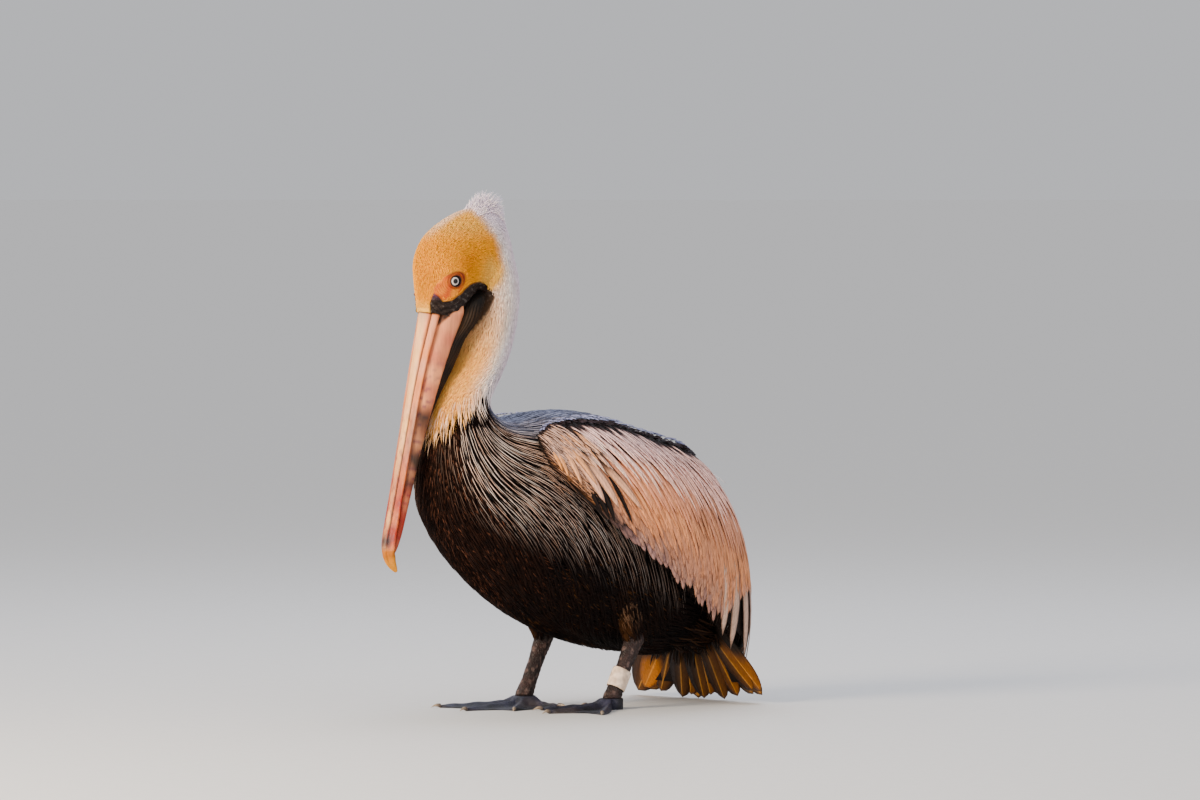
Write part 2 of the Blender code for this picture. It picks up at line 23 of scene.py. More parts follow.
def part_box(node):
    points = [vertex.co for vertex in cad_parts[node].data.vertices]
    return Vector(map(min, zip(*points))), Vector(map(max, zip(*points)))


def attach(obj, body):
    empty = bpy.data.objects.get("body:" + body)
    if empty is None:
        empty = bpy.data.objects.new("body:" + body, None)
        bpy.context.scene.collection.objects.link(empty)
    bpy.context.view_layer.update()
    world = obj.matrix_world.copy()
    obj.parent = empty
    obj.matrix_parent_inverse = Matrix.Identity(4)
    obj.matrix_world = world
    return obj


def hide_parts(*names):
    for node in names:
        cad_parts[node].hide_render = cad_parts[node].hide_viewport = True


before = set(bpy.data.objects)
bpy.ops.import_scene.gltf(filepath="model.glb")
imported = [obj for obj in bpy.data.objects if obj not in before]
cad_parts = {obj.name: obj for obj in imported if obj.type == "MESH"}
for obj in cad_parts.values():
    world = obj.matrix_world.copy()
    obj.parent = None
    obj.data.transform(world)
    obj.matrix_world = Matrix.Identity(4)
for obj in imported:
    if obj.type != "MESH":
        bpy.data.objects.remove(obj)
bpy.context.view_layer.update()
LOG = logging.getLogger("pelican")
MM = 0.001
Array = np.ndarray
Span = tuple[float, float]
Floats = tuple[float, ...]
Table = tuple[Floats, ...]


# --- Small mathematics ---------------------------------------------------------------


def linear(code: str) -> Array:
    """A colour as linear red, green and blue.

    Args:
        code: six hexadecimal digits of the display colour.

    Returns:
        Array: three values from 0 to 1.
    """
    value = np.array([int(code[i : i + 2], 16) for i in (0, 2, 4)]) / 255.0
    return np.where(value <= 0.04045, value / 12.92, ((value + 0.055) / 1.055) ** 2.4)


def unit(vectors: Array) -> Array:
    """The vectors scaled to length one along their last axis."""
    return vectors / np.maximum(np.linalg.norm(vectors, axis=-1, keepdims=True), 1e-12)


def dots(first: Array, second: Array) -> Array:
    """The scalar products of vectors in two lists, pair by pair."""
    return np.einsum("ij,ij->i", first, second)


def ease(low: float | Array, high: float | Array, value: Array) -> Array:
    """A smooth step: 0 below `low`, 1 above `high`, and a cubic rise between."""
    share = np.clip((value - low) / (np.asarray(high) - low), 0, 1)
    return share * share * (3 - 2 * share)


def mix(first: Array, second: Array, share: Array) -> Array:
    """Colours part way from the first to the second, by a share without a colour axis."""
    return first + (second - first) * np.asarray(share)[..., None]


def layered(colour: Array, *layers: tuple[str | Array, Array | float]) -> Array:
    """A colour with others laid over it one after another, each by its own share.

    Args:
        colour: what lies under them.
        layers: pairs of a colour, as digits or as linear values, and its share.

    Returns:
        Array: the colour that shows.
    """
    for over, share in layers:
        colour = mix(colour, linear(over) if isinstance(over, str) else over, share)
    return colour


def spline(rows: Table | Array, at: Array) -> Array:
    """Catmull-Rom curve through the rows: four neighbours weighed by cubic terms.

    Args:
        rows: the values passed through, one row for each whole parameter.
        at: parameters, of any shape.

    Returns:
        Array: the values there, with the shape of `at` and the rows' own last axis.
    """
    rows = np.asarray(rows, float)
    rows = np.vstack([2 * rows[0] - rows[1], rows, 2 * rows[-1] - rows[-2]])
    at = np.clip(at, 0, len(rows) - 3 - 1e-9)
    i = at.astype(int)
    t = (at - i)[..., None]
    p0, p1, p2, p3 = rows[i], rows[i + 1], rows[i + 2], rows[i + 3]
    return 0.5 * (
        2 * p1
        + (p2 - p0) * t
        + (2 * p0 - 5 * p1 + 4 * p2 - p3) * t**2
        + (3 * p1 - p0 - 3 * p2 + p3) * t**3
    )


def mottle(points: Array, size: float, seed: int = 0) -> Array:
    """Smooth uneven values from -1 to 1: a product of sines over turned directions.

    Args:
        points: places in metres, on the last axis.
        size: the rough width of a blotch in metres.
        seed: which pattern.

    Returns:
        Array: one value for each place.
    """
    rng = np.random.default_rng(1000 + seed)
    total = np.zeros(points.shape[:-1])
    for _ in range(5):
        way = unit(rng.normal(size=3)) * (math.pi / size) * rng.uniform(0.6, 1.5)
        total += np.sin(points @ way + rng.uniform(0, 2 * math.pi))
    return np.clip(total / 2.6, -1, 1)


def circle(count: int) -> Array:
    """Angles spread evenly round a circle, from zero."""
    return np.arange(count) * 2 * math.pi / count


def superellipse(angle: Array, power: float) -> tuple[Array, Array]:
    """A squarish circle's cosine and sine: their sizes to 2 over the power, signs kept."""
    cosine, sine = np.cos(angle), np.sin(angle)
    return np.sign(cosine) * np.abs(cosine) ** (2 / power), np.sign(sine) * np.abs(sine) ** (2 / power)


# --- Sizes shared by the forms ---------------------------------------------------------

BILL_ROOT = (204.0, 437.0)
BILL_PITCH = math.radians(79.0)
BILL_DOWN = (math.cos(BILL_PITCH), -math.sin(BILL_PITCH))
BILL_FRONT = (math.sin(BILL_PITCH), math.cos(BILL_PITCH))
HEAD_TURN = math.radians(5.0)
TURN_AXIS_F = 112.0
TURN_RIBS = (18.0, 10.0)
TAIL_END_F = -187.0
EYE = (22.6, 185.6, 472.0)
EYE_RADIUS = 7.6
GOLDEN_STEP = 0.6180339887498949
PLASTIC_STEPS = (0.7548776662466927, 0.5698402909980532)
LEFTWARDS = np.array([1.0, 0.0, 0.0])


def on_bill(along: float, front: float) -> tuple[float, float]:
    """The median-plane point `along` the bill from its root and `front` of its axis."""
    return (
        BILL_ROOT[0] + along * BILL_DOWN[0] + front * BILL_FRONT[0],
        BILL_ROOT[1] + along * BILL_DOWN[1] + front * BILL_FRONT[1],
    )


def place_move() -> Array:
    """How far the bird stands from its own origin: read from the trunk's box."""
    low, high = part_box("trunk")
    return np.array([(low.x + high.x) / 2, high.y + TAIL_END_F * MM, 0.0])


MOVE = place_move()


def to_world(x: Array, f: Array, z: Array, turned: Array | float = 0.0) -> Array:
    """Bird sizes as world points.

    Args:
        x: millimetres to the bird's left.
        f: millimetres forward.
        z: millimetres up.
        turned: 0 on the trunk to 1 on the head, which is turned to the right.

    Returns:
        Array: points in metres on a new last axis.
    """
    angle = HEAD_TURN * np.asarray(turned, float)
    ahead = f - TURN_AXIS_F
    across = x * np.cos(angle) - ahead * np.sin(angle)
    along = TURN_AXIS_F + ahead * np.cos(angle) + x * np.sin(angle)
    return np.stack(np.broadcast_arrays(across, -along, z), axis=-1) * MM + MOVE


def ovals(centre: Array, forward: Array, wide: Array, deep: Array, angle: Array) -> Array:
    """Ellipses: cosine times `wide` to the left, and sine times `deep` forward.

    Args:
        centre: one middle for each ring.
        forward: each ring's direction forward, or one for all.
        wide: each ring's half width.
        deep: each ring's half depth.
        angle: the places round a ring.

    Returns:
        Array: ring by point by 3, in the bird's own millimetres.
    """
    across = np.cos(angle)[None, :, None] * LEFTWARDS * wide[:, None, None]
    ahead = np.sin(angle)[None, :, None] * np.atleast_2d(forward)[:, None] * deep[:, None, None]
    return centre[:, None] + across + ahead


class Side(Enum):
    """The bird's two sides, by the sign of their x."""

    LEFT = 1
    RIGHT = -1

    @property
    def label(self) -> str:
        """The side's name in lower case."""
        return self.name.lower()


# --- Forms that carry skin and coat ----------------------------------------------------


@dataclass(eq=False)
class Form:
    """A surface of two parameters: `a` runs with the lie of the feathers, `b` across.

    `facing` is -1 where the cross product of the tangents points inwards.
    """

    a_range: Span = (0.0, 1.0)
    b_range: Span = (0.0, 2 * math.pi)
    facing: float = 1.0

    def flat(self, a: Array, b: Array) -> Array:
        """World points at parameters inside the form's ranges."""
        raise NotImplementedError

    def local(self, a: Array, b: Array) -> tuple[Array, Array, Array]:
        """Points and both tangents by central differences, straight on past the ends.

        Args:
            a: parameters along the lie.
            b: parameters across it.

        Returns:
            tuple: points, tangents along and tangents across, in metres per unit.
        """
        step_a, step_b = 1e-3 * np.ptp(self.a_range), 1e-3 * np.ptp(self.b_range)
        inside = np.clip(a, self.a_range[0] + step_a, self.a_range[1] - step_a)
        along = (self.flat(inside + step_a, b) - self.flat(inside - step_a, b)) / (2 * step_a)
        across = (self.flat(inside, b + step_b) - self.flat(inside, b - step_b)) / (2 * step_b)
        point = self.flat(inside, b) + along * (a - inside)[..., None]
        return point, along, across

    def normal(self, along: Array, across: Array) -> Array:
        """Outward unit normals: the cross product of both tangents."""
        return unit(np.cross(across, along)) * self.facing

    def chart(self, a: Array, b: Array) -> Array:
        """The form's own unwrap: both parameters scaled to the unit square.

        Args:
            a: parameters along the lie.
            b: parameters across it.

        Returns:
            Array: two values from 0 to 1 for each place.
        """
        u = (b - self.b_range[0]) / np.ptp(self.b_range)
        v = (a - self.a_range[0]) / np.ptp(self.a_range)
        return np.stack([np.clip(u, 0, 1), np.clip(v, 0, 1)], axis=-1)


@dataclass(eq=False)
class BodyForm(Form):
    """Head, neck and trunk as one loft through ribs that fan round the throat.

    A rib is the dorsal point, the ventral point, the half width, and how far the
    widest place lies towards the back; a section is an ellipse in the rib's plane.
    `b` is the angle round from the back over the left side. `depth_at` and `depths`
    say how far the skin lies under the outline, by rib.
    """

    a_range: Span = (0.0, 27.0)
    depth_at: Floats = (0, 1, 3, 8, 12, 15, 17, 19, 24, 27)
    depths: Floats = (0.5, 1.0, 1.7, 2.2, 2.8, 3.4, 5, 6, 6, 4)
    ribs: Table = (
        (*on_bill(0, 9.5), *on_bill(0, -34), 19.5, 0.00),
        (*on_bill(-14, 12.5), 163, 437, 23.0, 0.00),
        (215, 470, 155, 444, 26.5, 0.05),
        (215.5, 496, 149, 449, 29.0, 0.05),
        (204, 520, 146.5, 453, 29.5, 0.05),
        (180, 538, 144.6, 455, 28.5, 0.05),
        (153, 549, 143.2, 456.6, 28.0, 0.00),
        (123, 553, 142.4, 457.2, 27.0, 0.00),
        (104, 534, 141.8, 457, 26.5, 0.00),
        (94, 502, 141.8, 455, 27.0, 0.00),
        (86, 472, 143, 450, 27.0, 0.00),
        (86, 442, 146, 440, 27.0, 0.00),
        (93, 405, 152, 412, 26.5, 0.00),
        (106, 375, 163, 384, 27.0, 0.00),
        (122, 352, 180, 362, 28.5, 0.00),
        (129, 337, 193, 336, 32.0, 0.00),
        (122, 325, 203, 303, 42.0, 0.00),
        (106, 320, 209, 262, 57.0, 0.02),
        (82, 324, 201, 216, 73.0, 0.04),
        (50, 328, 175, 176, 85.0, 0.05),
        (10, 328, 137, 139, 91.0, 0.06),
        (-36, 320, 90, 107, 93.0, 0.06),
        (-82, 304, 38, 83, 90.0, 0.05),
        (-122, 276, -15, 67, 82.0, 0.04),
        (-152, 236, -70, 58, 70.0, 0.02),
        (-171, 190, -114, 56, 57.0, 0.00),
        (-182, 150, -146, 60, 46.0, 0.00),
        (-187, 120, -168, 72, 33.0, 0.00),
    )

    def own(self, t: Array, phi: Array) -> tuple[Array, Array, Array, Array]:
        """The bird's own x, f and z at a place, and how far it turns with the head.

        Args:
            t: rib parameters.
            phi: angles round from the back.

        Returns:
            tuple: x, f and z in millimetres, and the share of the head's turn.
        """
        rib = spline(self.ribs, t)
        up, side = np.cos(phi), np.sin(phi)
        f = (rib[..., 0] + rib[..., 2]) / 2 + (rib[..., 0] - rib[..., 2]) / 2 * up
        z = (rib[..., 1] + rib[..., 3]) / 2 + (rib[..., 1] - rib[..., 3]) / 2 * up
        x = rib[..., 4] * side * (1 + rib[..., 5] * up)
        return x, f, z, ease(*TURN_RIBS, t)

    def flat(self, a: Array, b: Array) -> Array:
        """World points of the outline at rib `a` and angle `b`."""
        return to_world(*self.own(a, b))

    def depth(self, t: Array) -> Array:
        """How far the skin lies under the outline, in millimetres, at rib `t`."""
        return np.interp(t, self.depth_at, self.depths)


@dataclass(eq=False, kw_only=True)
class WingForm(Form):
    """A folded wing's outer face: each rib is the parabola through its upper edge,
    middle and feather tips. `a` runs down the feathers and `b` from shoulder to rear.
    """

    side: Side
    b_range: Span = (0.0, 8.0)
    ribs: Table = (
        (64, 108, 306, 81, 112, 288, 91, 107, 267),
        (62, 88, 318, 99, 80, 274, 108, 56, 217),
        (58, 45, 323, 111, 25, 260, 112, -8, 176),
        (55, 0, 320, 116, -30, 243, 106, -62, 143),
        (53, -45, 309, 115, -80, 226, 97, -110, 114),
        (50, -88, 298, 109, -128, 208, 83, -155, 84),
        (48, -122, 288, 95, -165, 192, 68, -196, 60),
        (32, -141, 274, 65, -189, 172, 48, -212, 52),
        (16, -150, 258, 34, -198, 160, 31, -217, 57),
    )

    def __post_init__(self) -> None:
        """Turns the form's outer face outwards on its side."""
        self.facing = -float(self.side.value)

    def flat(self, a: Array, b: Array) -> Array:
        """World points of the outer face.

        Args:
            a: shares of the way down a rib.
            b: rib parameters.

        Returns:
            Array: points in metres.
        """
        a, b = np.broadcast_arrays(a, b)
        rib = spline(self.ribs, b).reshape(*b.shape, 3, 3)
        v = a[..., None]
        point = (
            rib[..., 0, :] * (1 - v) * (1 - 2 * v)
            + rib[..., 1, :] * 4 * v * (1 - v)
            + rib[..., 2, :] * v * (2 * v - 1)
        )
        return to_world(self.side.value * point[..., 0], point[..., 1], point[..., 2])


@dataclass(eq=False)
class TailForm(Form):
    """The fan of the tail's middle surface: `a` from root to tip, `b` from the bird's
    right edge (-1) to its left (1), crowned across and wider towards the tips.

    `root` and `tip` are half width, place forward and height.
    """

    b_range: Span = (-1.0, 1.0)
    root: tuple[float, float, float] = (24.0, -166.0, 104.0)
    tip: tuple[float, float, float] = (108.0, -197.0, 3.6)
    side_rise: float = 7.0
    tilt: float = 4.0
    swing: float = -8.0
    crown: float = 9.0

    def flat(self, a: Array, b: Array) -> Array:
        """World points of the fan.

        Args:
            a: shares of the way from root to tip.
            b: places across.

        Returns:
            Array: points in metres.
        """
        a, b = np.broadcast_arrays(a, b)
        crown = self.crown * (1 - b**2)
        x = b * (self.root[0] + (self.tip[0] - self.root[0]) * a) + self.swing * a
        f = self.root[1] + (self.tip[1] - self.root[1]) * a - crown * (0.4 + 0.6 * a)
        lift = self.tip[2] + self.side_rise * b**2 + self.tilt * b - self.root[2]
        return to_world(x, f, self.root[2] + lift * a + 0.5 * crown * (1 - a))


BODY = BodyForm()
WINGS = {side: WingForm(side=side) for side in Side}
TAIL = TailForm()


# --- Meshes ------------------------------------------------------------------------------


def make_mesh(
    name: str, points: Array, faces: list[Array], colours: Array | None = None
) -> bpy.types.Object:
    """A mesh object from whole arrays.

    Args:
        name: the piece's name.
        points: vertices in metres, any shape ending in 3.
        faces: arrays of vertex numbers, one row for each face of that size.
        colours: one linear colour for each vertex, or none.

    Returns:
        bpy.types.Object: the object, at the origin and smooth.
    """
    points = points.reshape(-1, 3)
    mesh = bpy.data.meshes.new(name)
    mesh.vertices.add(len(points))
    mesh.vertices.foreach_set("co", points.astype(np.float32).ravel())
    corners = np.concatenate([block.ravel() for block in faces]).astype(np.int32)
    sizes = np.concatenate([np.full(len(block), block.shape[1]) for block in faces])
    starts = np.concatenate([[0], np.cumsum(sizes)[:-1]]).astype(np.int32)
    mesh.loops.add(len(corners))
    mesh.loops.foreach_set("vertex_index", corners)
    mesh.polygons.add(len(sizes))
    mesh.polygons.foreach_set("loop_start", starts)
    mesh.update(calc_edges=True)
    mesh.validate()
    if colours is not None:
        layer = mesh.color_attributes.new("Coat", "FLOAT_COLOR", "POINT")
        full = np.ones((len(points), 4), np.float32)
        full[:, :3] = np.clip(colours.reshape(-1, 3), 0, 1)
        layer.data.foreach_set("color", full.ravel())
    mesh.shade_smooth()
    made = bpy.data.objects.new(name, mesh)
    bpy.context.scene.collection.objects.link(made)
    return made


def grid_faces(rows: int, columns: int, wrap: bool) -> Array:
    """Quads of a grid whose points come row after row.

    Args:
        rows: how many rows of points.
        columns: how many points in a row.
        wrap: whether the last column joins the first.

    Returns:
        Array: four vertex numbers for each quad.
    """
    i = np.arange(rows - 1)[:, None]
    j = np.arange(columns if wrap else columns - 1)[None, :]
    k = (j + 1) % columns
    corners = (i * columns + j, i * columns + k, (i + 1) * columns + k, (i + 1) * columns + j)
    return np.stack(np.broadcast_arrays(*corners), axis=-1).reshape(-1, 4)


def tube_arrays(rings: Array) -> tuple[Array, list[Array]]:
    """Points and faces of a closed tube: rings, and a middle point fanned over each end.

    Args:
        rings: points, or colours, as ring by point by 3.

    Returns:
        tuple: the points, with both middles last, and the blocks of faces.
    """
    count, around = rings.shape[:2]
    size = count * around
    last = size - around
    ends = np.stack([rings[0].mean(axis=0), rings[-1].mean(axis=0)])
    j = np.arange(around)
    k = (j + 1) % around
    start = np.stack([np.full(around, size), k, j], axis=1)
    end = np.stack([np.full(around, size + 1), last + j, last + k], axis=1)
    return np.concatenate([rings.reshape(-1, 3), ends]), [grid_faces(count, around, True), start, end]


def tube_mesh(name: str, rings: Array, colours: Array) -> bpy.types.Object:
    """A closed tube as a mesh object, with its faces out.

    Args:
        name: the piece's name.
        rings: points as ring by point by 3.
        colours: their colours, the same way.

    Returns:
        bpy.types.Object: the piece.
    """
    points, faces = tube_arrays(rings)
    made = make_mesh(name, points, faces, tube_arrays(colours)[0])
    face_out(made)
    return made


def shell_arrays(outer: Array, inner: Array) -> tuple[Array, list[Array]]:
    """Points and faces of a closed piece between two grids of one shape.

    Args:
        outer: the outer grid of points.
        inner: the inner grid of points.

    Returns:
        tuple: the points and the blocks of faces.
    """
    rows, columns = outer.shape[:2]
    size = rows * columns
    quads = grid_faces(rows, columns, False)
    top = np.arange(columns)
    right = np.arange(1, rows) * columns + columns - 1
    bottom = (rows - 1) * columns + np.arange(columns - 2, -1, -1)
    left = np.arange(rows - 2, 0, -1) * columns
    rim = np.concatenate([top, right, bottom, left])
    after = np.roll(rim, -1)
    wall = np.stack([after, rim, size + rim, size + after], axis=1)
    points = np.concatenate([outer.reshape(-1, 3), inner.reshape(-1, 3)])
    return points, [quads, size + quads[:, ::-1], wall]


def face_out(made: bpy.types.Object) -> None:
    """Turns a closed piece inside out where its signed volume is below nothing.

    Args:
        made: the piece, with no open edge.
    """
    mesh = made.data
    mesh.calc_loop_triangles()
    corners = np.empty(len(mesh.loop_triangles) * 3, np.int32)
    mesh.loop_triangles.foreach_get("vertices", corners)
    points = np.empty(len(mesh.vertices) * 3, np.float32)
    mesh.vertices.foreach_get("co", points)
    a, b, c = points.reshape(-1, 3)[corners.reshape(-1, 3)].transpose(1, 0, 2)
    if dots(a, np.cross(b, c)).sum() < 0:
        mesh.flip_normals()


# --- Finishes ------------------------------------------------------------------------------


@dataclass
class Graph:
    """A node tree under construction, whose calls return sockets."""

    tree: bpy.types.NodeTree

    def feed(self, node: bpy.types.Node, **inputs: object) -> None:
        """Links sockets to a node's inputs, or sets the inputs to numbers.

        Args:
            node: the node.
            inputs: by the inputs' names, with a low line for each space.
        """
        for name, value in inputs.items():
            socket = node.inputs[name.replace("_", " ")]
            if isinstance(value, bpy.types.NodeSocket):
                self.tree.links.new(value, socket)
            else:
                socket.default_value = value

    def node(self, kind: str, fields: dict[str, str] | None = None, **inputs: object) -> bpy.types.Node:
        """Adds a node.

        Args:
            kind: its type without the leading ShaderNode.
            fields: its own fields.
            inputs: what goes into it, as feed takes them.

        Returns:
            bpy.types.Node: the node.
        """
        made = self.tree.nodes.new(f"ShaderNode{kind}")
        for name, value in (fields or {}).items():
            setattr(made, name, value)
        self.feed(made, **inputs)
        return made

    def math(self, operation: str, *values: object) -> bpy.types.NodeSocket:
        """The result of a Math node.

        Args:
            operation: its operation.
            values: sockets or numbers, in order.

        Returns:
            bpy.types.NodeSocket: the result.
        """
        made = self.node("Math", {"operation": operation})
        for socket, value in zip(made.inputs, values, strict=False):
            if isinstance(value, bpy.types.NodeSocket):
                self.tree.links.new(value, socket)
            else:
                socket.default_value = value
        return made.outputs["Value"]

    def noise(self, place: bpy.types.NodeSocket, scale: float, detail: float) -> bpy.types.NodeSocket:
        """A noise over a place, mostly between 0.3 and 0.7."""
        return self.node("TexNoise", Vector=place, Scale=scale, Detail=detail).outputs["Fac"]

    def spread(self, noise: bpy.types.NodeSocket, low: float, high: float) -> bpy.types.NodeSocket:
        """A noise's usual values spread between `low` and `high`."""
        made = self.node("MapRange", Value=noise, From_Min=0.3, From_Max=0.7, To_Min=low, To_Max=high)
        return made.outputs["Result"]

    def scaled(self, colour: bpy.types.NodeSocket, by: bpy.types.NodeSocket) -> bpy.types.NodeSocket:
        """A colour times a number."""
        made = self.node("VectorMath", {"operation": "SCALE"}, Scale=by)
        self.tree.links.new(colour, made.inputs[0])
        return made.outputs["Vector"]


@dataclass(frozen=True)
class Finish:
    """A surface whose colour comes from the piece's own marking, varied by noise.

    `grain` and `fine` are the sizes per metre of a broad and a small noise, `uneven`
    how far the broad one darkens and lightens the colour, `relief` the bump's height
    in millimetres, and `cells` the size per metre of a scaly relief, or 0 for none.
    `barbs` is how strongly fine slanting lines show, whose phase grows by `barb_pitch`
    with the length and by `barb_slope` across, and `gloss_spread` how far the
    roughness varies.
    """

    name: str
    roughness: float = 0.6
    grain: float = 220.0
    uneven: float = 0.25
    relief: float = 0.3
    fine: float = 900.0
    coat: float = 0.0
    cells: float = 0.0
    cell_relief: float = 0.5
    barbs: float = 0.0
    barb_pitch: float = 420.0
    barb_slope: float = 7.0
    specular: float = 0.5
    gloss_spread: float = 0.08
    stretch: tuple[float, float, float] = (1.0, 1.0, 1.0)

    def barb_lines(self, graph: Graph) -> bpy.types.NodeSocket:
        """Fine lines that slant from the shaft: a sine of the length plus the place across.

        Args:
            graph: the material's graph.

        Returns:
            bpy.types.NodeSocket: brightness round 1.
        """
        place = graph.node("UVMap", {"uv_map": "Barbs"}).outputs["UV"]
        parts = graph.node("SeparateXYZ", Vector=place).outputs
        slope = graph.math("MULTIPLY", graph.math("ABSOLUTE", parts["X"]), self.barb_slope)
        wave = graph.math("SINE", graph.math("MULTIPLY_ADD", parts["Y"], self.barb_pitch, slope))
        return graph.math("MULTIPLY_ADD", wave, self.barbs, 1.0)

    def material(self) -> bpy.types.Material:
        """Builds the node material: marking times noise, uneven gloss, and a bump.

        Returns:
            bpy.types.Material: the finished material, made once for each name.
        """
        name = f"look_{self.name}"
        found = bpy.data.materials.get(name)
        if found:
            return found
        made = bpy.data.materials.new(name)
        made.use_nodes = True
        graph = Graph(made.node_tree)
        place = graph.node("TexCoord").outputs["Object"]
        turned = graph.node("Mapping", Vector=place, Scale=self.stretch).outputs["Vector"]
        broad = graph.noise(turned, self.grain, 5.0)
        small = graph.noise(turned, self.fine, 2.0)
        marking = graph.node("Attribute", {"attribute_name": "Coat"}).outputs["Color"]
        colour = graph.scaled(marking, graph.spread(broad, 1.0 - self.uneven, 1.0 + self.uneven * 0.8))
        if self.barbs:
            colour = graph.scaled(colour, self.barb_lines(graph))
        height = graph.math("ADD", broad, small)
        if self.cells:
            scales = graph.node(
                "TexVoronoi", {"feature": "DISTANCE_TO_EDGE"}, Vector=turned, Scale=self.cells
            ).outputs["Distance"]
            edge = graph.node("MapRange", Value=scales, From_Max=0.18, To_Max=self.cell_relief * 4)
            height = graph.math("ADD", height, edge.outputs["Result"])
        bump = graph.node("Bump", Height=height, Distance=self.relief * MM, Strength=0.7)
        dull, bright = self.roughness + self.gloss_spread, self.roughness - self.gloss_spread
        graph.feed(
            made.node_tree.nodes["Principled BSDF"],
            Base_Color=colour,
            Roughness=graph.spread(small, max(0.02, bright), min(1.0, dull)),
            Normal=bump.outputs["Normal"],
            Specular_IOR_Level=self.specular,
            Coat_Weight=self.coat,
            Coat_Roughness=0.12,
        )
        return made


DOWN = Finish("down", roughness=0.9, grain=260, uneven=0.08, relief=0.06, specular=0.05)
FEATHER = Finish("feather", roughness=0.62, grain=260, uneven=0.16, relief=0.1, specular=0.07)
QUILL = Finish(
    "quill", roughness=0.5, grain=620, uneven=0.3, relief=0.12, barbs=0.07, specular=0.14,
    stretch=(1, 1, 0.12),
)
BARE = Finish(
    "bare_skin", roughness=0.55, grain=320, uneven=0.18, relief=0.5, cells=520, cell_relief=0.35,
    specular=0.25,
)
HORN = Finish("horn", roughness=0.45, grain=260, uneven=0.16, relief=0.25, stretch=(1, 1, 0.2), specular=0.25)
POUCH = Finish("pouch", grain=260, uneven=0.4, relief=0.5, specular=0.16, stretch=(1, 1, 0.4))
SCALY = Finish("shank", roughness=0.5, grain=260, uneven=0.45, relief=0.5, cells=380, specular=0.35)
WEB = Finish(
    "web", roughness=0.45, grain=200, uneven=0.4, relief=0.4, cells=560, cell_relief=0.4, specular=0.4
)
CLAW = Finish("claw", roughness=0.35, grain=500, uneven=0.25, relief=0.15)
WET = Finish("wet_eye", roughness=0.1, grain=900, uneven=0.12, relief=0.0, coat=0.2, specular=0.25)
RING = Finish("band", roughness=0.42, grain=260, uneven=0.2, relief=0.2)


def finish_piece(made: bpy.types.Object, finish: Finish, slot: str, *nodes: str) -> bpy.types.Object:
    """Dresses a piece, hangs it on the root and hides the CAD parts that it replaces.

    Args:
        made: the piece.
        finish: its finish.
        slot: the record's slot that it belongs to; not used.
        nodes: CAD nodes that it replaces.

    Returns:
        bpy.types.Object: the same piece.
    """
    made.data.materials.append(finish.material())
    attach(made, "root")
    if nodes:
        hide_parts(*nodes)
    LOG.info("%s: %d faces", made.name, len(made.data.polygons))
    return made


# --- Markings --------------------------------------------------------------------------------

GOLD = linear("FCA600")
DEEP_GOLD = linear("F49000")
PALE_GOLD = linear("FFC050")
FRONT_GOLD = linear("FAA400")
CREAM = linear("FFD6B8")
WHITE = linear("FFF2EE")
# painted sky-lit shade: the bluish cast that white plumage takes where the sky lights it
SKYLIT_LAVENDER = linear("E8D6EA")
PEACH = linear("FFB23E")
DARK = linear("200F07")
BLACK = linear("0A0606")
MAUVE = linear("8E94B4")
SLATE = linear("1A1A24")
BARE_BLACK = linear("221510")
BARE_ORANGE = linear("DC5C00")
BARE_RED = linear("6A1004")


